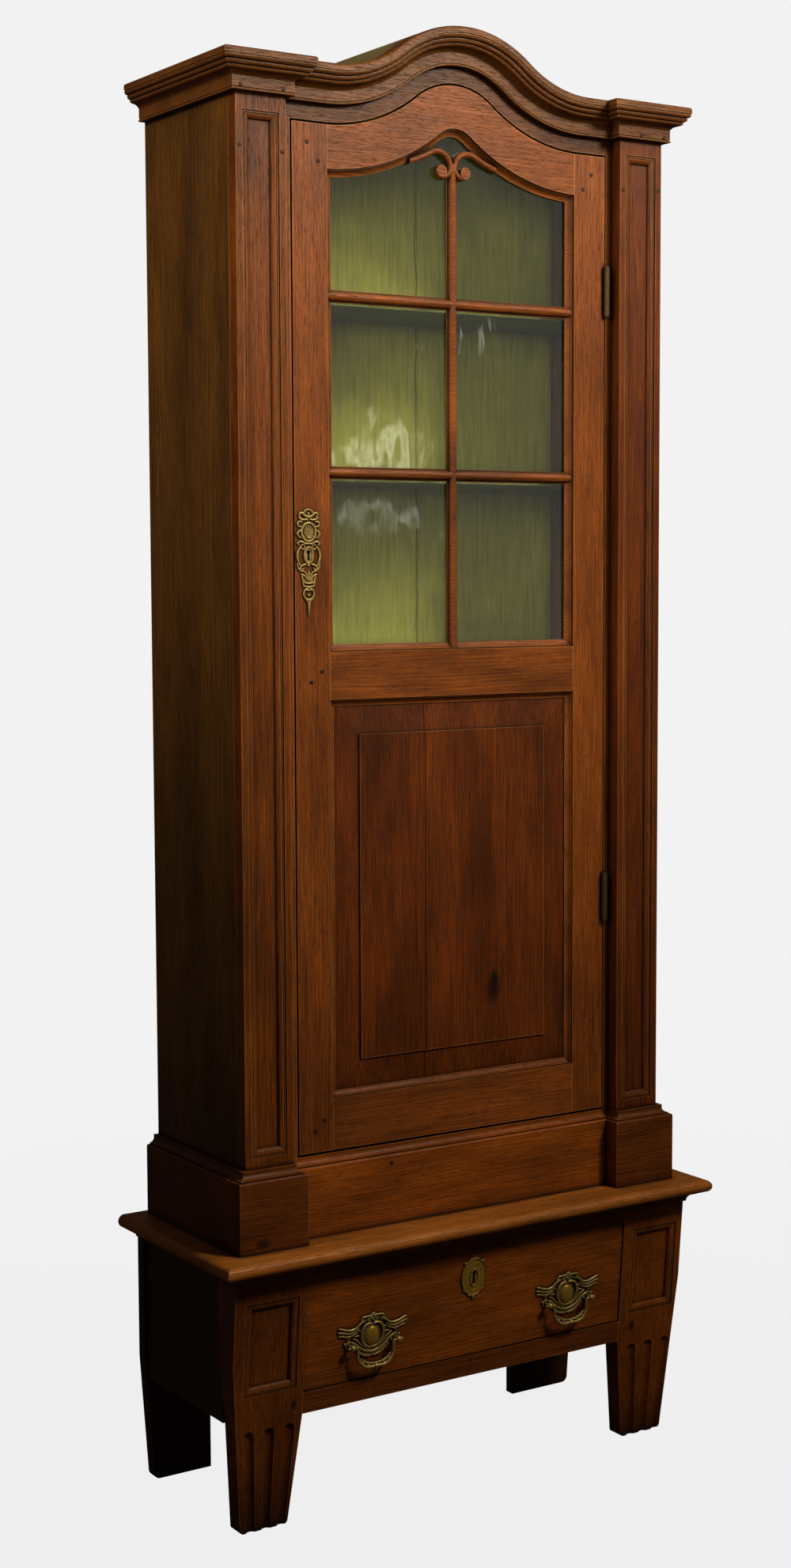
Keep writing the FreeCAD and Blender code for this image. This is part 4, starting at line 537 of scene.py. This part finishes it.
# leaves cast on the low half of the bail
LEAVES = both([
    (0, False, (30.5, -17, 1.9), (27, -25, 2.7), (20, -31, 2.9), (11, -33.5, 2.9), (3, -32.5, 2.6)),
    (0, False, (26, -18, 1.0), (21, -23.5, 1.7), (13, -27, 1.9), (6, -28.5, 1.6), (0, -28, 1.3))])
for name, x in (("left", -175.0), ("right", 184.0)):
    spot = drawer_spot(x, HANDLE_Z)
    fitting("handle_casting_" + name, "drawer", brass, spot, CREST_AND_WINGS + SCROLL_AND_FOOT
            + [rim(0, 0.5, 13.5, 17.3, 0.8, 0.6), rim(40, -8, 5.6, 5.6, 1.0, 1.4),
               rim(-40, -8, 5.6, 5.6, 1.0, 1.4)],
            HANDLE_BEADS, [([oval(0, 0.5, 15, 19)], 0.02, 1.1), ([oval(0, 29, 13, 5.4)], 0.02, 0.9),
                           ([oval(0, -22.5, 19, 7.5)], 0.02, 0.9), ([oval(49, 13, 9, 5.4)], 0.02, 0.8),
                           ([oval(-49, 13, 9, 5.4)], 0.02, 0.8)], stands_for=("handle_plate_" + name,))
    fitting("handle_boss_" + name, "drawer", gilt, spot, beads=[(0, 0.5, 1.0, 12, 15.6, 4.4)])
    fitting("bail_leaves_" + name, "bail_" + name, brass,
            on_face(x, BAIL_Y + 1.8, BAIL_Z), LEAVES,
            [(0, -30, 1.5, 3.2, 3.4, 3.0), (13.5, -30, 1.8, 2.6, 2.4, 2.4), (-13.5, -30, 1.8, 2.6, 2.4, 2.4),
             (23, -25.5, 1.6, 2.3, 2.3, 2.2), (-23, -25.5, 1.6, 2.3, 2.3, 2.2)], flat=1.0)

# Drawer keyhole plate: oval with a raised rim, a ring round the key, rivets and leaf points
KEY_SLOT = key_shape(3.2, 2.7, 16)
fitting("drawer_keyhole_plate", "drawer", gilt, drawer_spot(4.5, 328), both([
    (0.6, False, (2, 22.5, 1.0), (5, 24.5, 1.2), (8, 21.8, 0.9)),
    (0.6, False, (13, 17.5, 1.2), (17, 20, 1.3), (17.5, 15.5, 1.0)),
    (0.6, False, (17, -22.5, 1.2), (19.5, -27, 1.3), (14.5, -27.5, 1.0)),
    (0.6, False, (9, -31.5, 1.2), (11, -35.5, 1.3), (6, -34.5, 1.1)),
    (0.8, False, (3.5, -33, 1.3), (2.5, -37, 1.5), (0, -39, 1.4))]) + [
        rim(0, -5.5, 21.5, 28.3, 1.1, 0.8), rim(0, -5.5, 15, 21, 0.5, 1.0), rim(0, -6.5, 6.9, 13, 1.1, 1.2),
        rim(-16.6, 2, 1.4, 1.4, 0.5, 1.2), rim(-17, -7, 1.4, 1.4, 0.5, 1.2),
        rim(-15.5, 9.5, 1.4, 1.4, 0.5, 1.2)],
    [(0, 23.6, 1.3, 1.9, 1.9, 1.5), (17.3, 18.5, 1.3, 1.9, 1.9, 1.5), (-17.3, 18, 1.3, 1.7, 1.9, 1.5),
     (0, -36, 1.5, 2.4, 2.6, 1.7), (5, -34.5, 1.3, 1.9, 1.9, 1.5), (-5, -34.5, 1.3, 1.9, 1.9, 1.5),
     (17.5, -25.5, 1.3, 1.9, 1.9, 1.5), (-17.5, -25.5, 1.3, 1.9, 1.9, 1.5)],
    [([oval(0, -5.5, 22, 28.8), KEY_SLOT], 0.4, 1.0)], stands_for=("drawer_escutcheon",))
# black sheet behind the key slot: painted shade in the hole
fitting("drawer_key_shade", "drawer", keyhole_shade, drawer_spot(4.5, 328),
        plates=[([key_shape(4.2, 3.6, 17)], 0.02, 0.3)])

# Door keyhole plate: crest with curls, ring with a shell, pierced cartouche round the key, leaf tier,
# small ring and a beaded drop
SHELL = [(0.5, False, (0.25 * u, 21.5, 0.9), (0.7 * u, 27, 1.2), (u, v, 1.5))
         for u, v in ((0, 37.5), (3.6, 36.5), (-3.6, 36.5), (6.6, 33.5), (-6.6, 33.5), (8.4, 29.0),
                      (-8.4, 29.0))]
DOOR_LINES = both([
    (0.4, False, (0, 60.6, 1.3), (4, 60.3, 1.3), (7, 58, 1.1)),
    (0.2, False, (4, 57.5, 0.9), (8, 56.5, 1.1), (11, 56, 1.1)),
    (0.6, False, (1, 50, 1.6), (6, 51.5, 1.7), (10.5, 56, 1.7), (15, 55.5, 1.6), (15.5, 51, 1.4),
     (12, 50, 1.0)),
    (0.3, False, (2, 47, 1.3), (8, 45.5, 1.5), (14, 47.5, 1.4), (16.5, 50, 1.1)),
    (0.3, False, (11, 43.5, 1.3), (16.5, 44, 1.5), (18.6, 39.5, 1.6), (15.5, 35.5, 1.4), (12, 36.5, 1.1)),
    (0.3, False, (12, 31.5, 1.4), (16.5, 30, 1.6), (18.6, 26, 1.7), (16, 22, 1.5), (12.5, 20, 1.2)),
    (0.5, False, (0, 12.6, 1.5), (5, 11.5, 1.6), (9.5, 14.6, 1.7), (15.5, 15.4, 1.6), (18.4, 12, 1.4),
     (15.5, 9.8, 1.1)),
    (0.4, False, (12.5, 8, 1.4), (17.6, 3.5, 1.7), (19.2, -4.5, 1.8), (18, -12.5, 1.7), (14.5, -19, 1.5)),
    (0.6, False, (4, -17, 1.2), (9, -17.6, 1.5), (14.5, -21, 1.6), (13, -25.4, 1.5), (8.5, -24.5, 1.2),
     (8, -21.5, 0.9)),
    (0.2, False, (18.4, -15, 1.2), (18.2, -22, 1.4), (13, -27.6, 1.4), (7, -27.5, 1.1)),
    (0.7, False, (1, -41, 1.2), (5.5, -33, 1.8), (12.6, -31.5, 1.3)),
    (0.6, False, (1, -39, 1.1), (3.6, -31, 1.7), (7, -27.5, 1.2)),
    (0.3, False, (12, -32, 1.0), (10, -37.5, 1.5), (9.4, -43, 1.5), (8.4, -49, 1.3)),
    (0.6, False, (0, -44.4, 1.4), (5, -44, 1.4), (9, -42.6, 1.1)),
    (0.6, False, (0, -49.4, 1.5), (5, -49, 1.4), (8.8, -47.8, 1.1)),
    (0.4, False, (8.6, -61, 1.2), (6, -66, 1.5), (1.5, -70.5, 1.4))]) + [
        (0.8, False, (0, -26, 1.0), (0, -33, 1.9), (0, -40, 1.1)),
        (0.6, False, (-7.6, -53.6, 1.1), (0, -54.2, 1.2), (7.6, -53.6, 1.1)),
        (0.4, False, (0, -68, 2.2), (0, -76, 2.2), (0, -84, 1.6), (0, -91.4, 0.7)),
        rim(0, 28.6, 11.6, 13.0, 1.7, 0.5), rim(0, -59, 8.6, 8.2, 1.4, 0.4),
        rim(9.4, 7.6, 3.3, 3.3, 1.0, 0.3), rim(-9.4, 7.6, 3.3, 3.3, 1.0, 0.3),
        rim(0, -4.2, 7.0, 11.4, 1.5, 0.6)] + SHELL
DOOR_BEADS = [(0, 50, 2.0, 2.7, 2.5, 1.9), (0, 55, 1.5, 1.9, 2.0, 1.5), (0, 20.6, 1.8, 3.0, 1.9, 1.8),
              (0, 15.2, 1.5, 2.4, 2.0, 1.6), (0, -61, 1.5, 2.3, 1.9, 1.7), (0, -73, 1.6, 2.9, 2.2, 2.0),
              (0, -78.5, 1.5, 2.5, 1.9, 1.8), (0, -83.5, 1.3, 2.0, 1.7, 1.6), (0, -88, 1.0, 1.4, 1.5, 1.3),
              (0, -18.6, 1.4, 2.2, 1.9, 1.6)]
for side in (-1, 1):
    DOOR_BEADS += [(side * 15, 53.4, 1.5, 1.7, 1.9, 1.5), (side * 18.6, 26, 1.6, 1.6, 2.2, 1.5),
                   (side * 18.4, 12.6, 1.4, 1.7, 1.6, 1.5), (side * 19, -8, 1.7, 1.5, 2.4, 1.5),
                   (side * 14.6, -23.4, 1.5, 2.0, 1.9, 1.6), (side * 11.6, -31.6, 1.5, 2.0, 1.6, 1.5)]
DOOR_Y = -86.5
DOOR_SPOT = on_face(-251, DOOR_Y, 1412)
fitting("door_keyhole_plate", "door", brass, DOOR_SPOT, DOOR_LINES, DOOR_BEADS,
        [([oval(0, -4.2, 8.2, 12.6), key_shape(3.2, 2.1, 11.5)], 0.4, 0.9),
         ([oval(0, 28.6, 11.6, 13)], 0.02, 0.7),
         ([oval(0, -36.5, 8, 8.5)], 0.02, 0.8), ([oval(0, 50, 6, 5)], 0.02, 0.7)],
        stands_for=("door_escutcheon",))
# black sheet behind the key slot: painted shade in the hole
fitting("door_key_shade", "door", keyhole_shade, DOOR_SPOT,
        plates=[([key_shape(4.2, 3.0, 12.4)], 0.02, 0.3)])

# Pegs through the joints: end grain, darker than the boards and hardly proud of them. Each set has
# the Y of its face and its places, in mm
peg_wood = oak("waxed oak, pegs", "y", 90, "#3c1e0b", "#211006", worn=0.0)
PEG_SIZE = (0.0034, 0.0005, 0.0032)
for name, body, face_y, places in (
        ("door_pegs", "door", DOOR_Y, (
            (-247.9, 1986.4), (-229.9, 1961.9), (-247, 1226), (-229, 1241), (-246, 570), (-230, 585),
            (256, 1985), (240, 1962))),
        ("pilaster_pegs", "case", -108.5, ((-301, 1964), (-369, 1968), (301, 1964), (369, 1968))),
        ("capital_pegs", "case", -118.0, (
            (-371.6, 2047), (-304.2, 2047), (328, 2047), (372, 2047))),
        ("plinth_peg", "case", -98.5, ((-121.6, 508.3),))):
    bm = bmesh.new()
    for x, z in places:
        bmesh.ops.create_uvsphere(
            bm, u_segments=14, v_segments=8, radius=1,
            matrix=Matrix.Translation((x * MM, face_y * MM, z * MM))
            @ Matrix.Diagonal((*PEG_SIZE, 1)))
    for face in bm.faces:
        face.smooth = True
    piece = new_piece(name, bm, peg_wood)
    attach(piece, body)

# Floor, world and lamps
PALE = rgb("#f2f2f2")
# Share of the pale backdrop that gloss shows, as in a dim room
MIRRORED = 0.02


def backdrop_share(tree):
    """How much of the pale backdrop a ray sees: all of it from the camera and through glass, and
    little of it in gloss. Light that left a matt surface and goes out through the panes sees
    none."""
    ray = add(tree, "LightPath").outputs
    seen = calc(tree, "MULTIPLY_ADD", ray["Is Glossy Ray"], MIRRORED, ray["Is Camera Ray"])
    seen = calc(tree, "MAXIMUM", seen, ray["Is Transmission Ray"])
    return calc(tree, "MULTIPLY", seen, calc(tree, "LESS_THAN", ray["Diffuse Depth"], 0.5))


material, tree = new_material("pale studio floor")
place = add(tree, "TexCoord").outputs["Object"]
# a faint shadow, within 2.6 m of the cabinet
far = ramp(tree, vector(tree, "LENGTH", place)["Value"], 0.6, 2.6, 0.96, 1.0)
plain = calc(tree, "MULTIPLY", far, backdrop_share(tree))
camera_ray = add(tree, "LightPath").outputs["Is Camera Ray"]
matt = add(tree, "BsdfDiffuse", {"Color": mix(tree, camera_ray, rgb("#5c564e"), rgb("#e4e4e4"))})
even = add(tree, "Emission", {"Color": PALE})
surface = add(tree, "MixShader", {0: plain, 1: matt.outputs[0], 2: even.outputs[0]})
add(tree, "OutputMaterial", {"Surface": surface.outputs[0]})
bm = bmesh.new()
bmesh.ops.create_circle(bm, cap_ends=True, segments=96, radius=30)
floor = new_piece("floor", bm, material)

world = bpy.data.worlds.new("studio")
world.use_nodes = True
tree = world.node_tree
tree.nodes.clear()
fill = add(tree, "Background", {"Color": rgb("#ffe9cc"), "Strength": 0.05})
back = add(tree, "Background", {"Color": PALE, "Strength": 1.0})
surface = add(tree, "MixShader", {0: backdrop_share(tree), 1: fill.outputs[0], 2: back.outputs[0]})
add(tree, "OutputWorld", {"Surface": surface.outputs[0]})
bpy.context.scene.world = world


def lamp(name, place, aim, size, power, colour, cone):
    """Spot that looks at a point, with a soft-edged cone."""
    light = bpy.data.lights.new(name, "SPOT")
    light.shadow_soft_size = size
    light.spot_size = math.radians(cone)
    light.spot_blend = 1.0
    light.energy = power
    light.color = rgb(colour)[:3]
    holder = bpy.data.objects.new(name, light)
    holder.location = place
    holder.rotation_euler = (Vector(aim) - Vector(place)).to_track_quat("-Z", "Y").to_euler()
    bpy.context.scene.collection.objects.link(holder)


lamp("key lamp", (1.15, -2.1, 3.1), (0, 0, 1.95), 0.4, 400, "#fff0da", 78)
lamp("side lamp", (-2.3, -0.6, 3.0), (-0.4, 0, 2.0), 0.3, 140, "#ffe9c8", 46)
lamp("front lamp", (-1.8, -2.7, 1.95), (0, 0, 1.85), 0.4, 165, "#fff0da", 46)

# Y of the panes' face
PANE_Y = -0.0745


def glow(name, x, z, wide, tall, strength, seed):
    """A pale glowing cloud, no lamp, that only glass and metal mirror: a painted reflection in the panes. x
    and z are its place in the pane as the camera sees it, so it hangs beside the camera, as far in front of
    the panes."""
    middle = Vector((2 * x - EYE.x, EYE.y, 2 * z - EYE.z))
    material, tree = new_material("mirrored light, " + name)
    place = add(tree, "TexCoord").outputs["Object"]
    local = vector(tree, "SUBTRACT", place, middle)[0]
    fade = vector(tree, "MULTIPLY", local, (0.9 / wide, 0.9 / wide, 0.95 / tall))[0]
    body = ramp(tree, vector(tree, "LENGTH", fade)["Value"], 0.25, 1.0, 1.0, 0.0)
    # wisps of 0.1 m
    drifted = add(tree, "Mapping", {"Vector": local, "Location": (seed, seed, seed),
                                    "Scale": (9, 9, 14)}).outputs[0]
    mist = add(tree, "TexNoise", {"Vector": drifted, "Scale": 1, "Detail": 4}).outputs[0]
    level = calc(tree, "MULTIPLY", body, ramp(tree, mist, 0.38, 0.62))
    glossy = add(tree, "LightPath").outputs["Is Glossy Ray"]
    level = calc(tree, "MULTIPLY", calc(tree, "MULTIPLY", level, glossy), strength)
    shine = add(tree, "Emission", {"Color": rgb("#f3f4ea"), "Strength": level})
    clear = add(tree, "BsdfTransparent")
    surface = add(tree, "AddShader", {0: shine.outputs[0], 1: clear.outputs[0]})
    add(tree, "OutputMaterial", {"Surface": surface.outputs[0]})
    bm = bmesh.new()
    bmesh.ops.create_grid(bm, x_segments=1, y_segments=1, size=0.5)
    turn = (Vector((x, PANE_Y, z)) - middle).to_track_quat("Z", "Y").to_matrix().to_4x4()
    bmesh.ops.transform(bm, verts=bm.verts, matrix=Matrix.Translation(middle) @ turn
                        @ Matrix.Diagonal((2 * wide, 2 * tall, 1, 1)))
    cloud = new_piece(name, bm, material)


# painted reflections of a window and a spark of light in the panes
glow("window_cloud", -0.115, 1.562, 0.17, 0.06, 5.0, 1)
glow("upper_cloud", -0.12, 1.465, 0.15, 0.05, 2.2, 4)
glow("spark", 0.026, 1.722, 0.016, 0.04, 6.0, 7)

bpy.context.scene.view_settings.view_transform = "Standard"
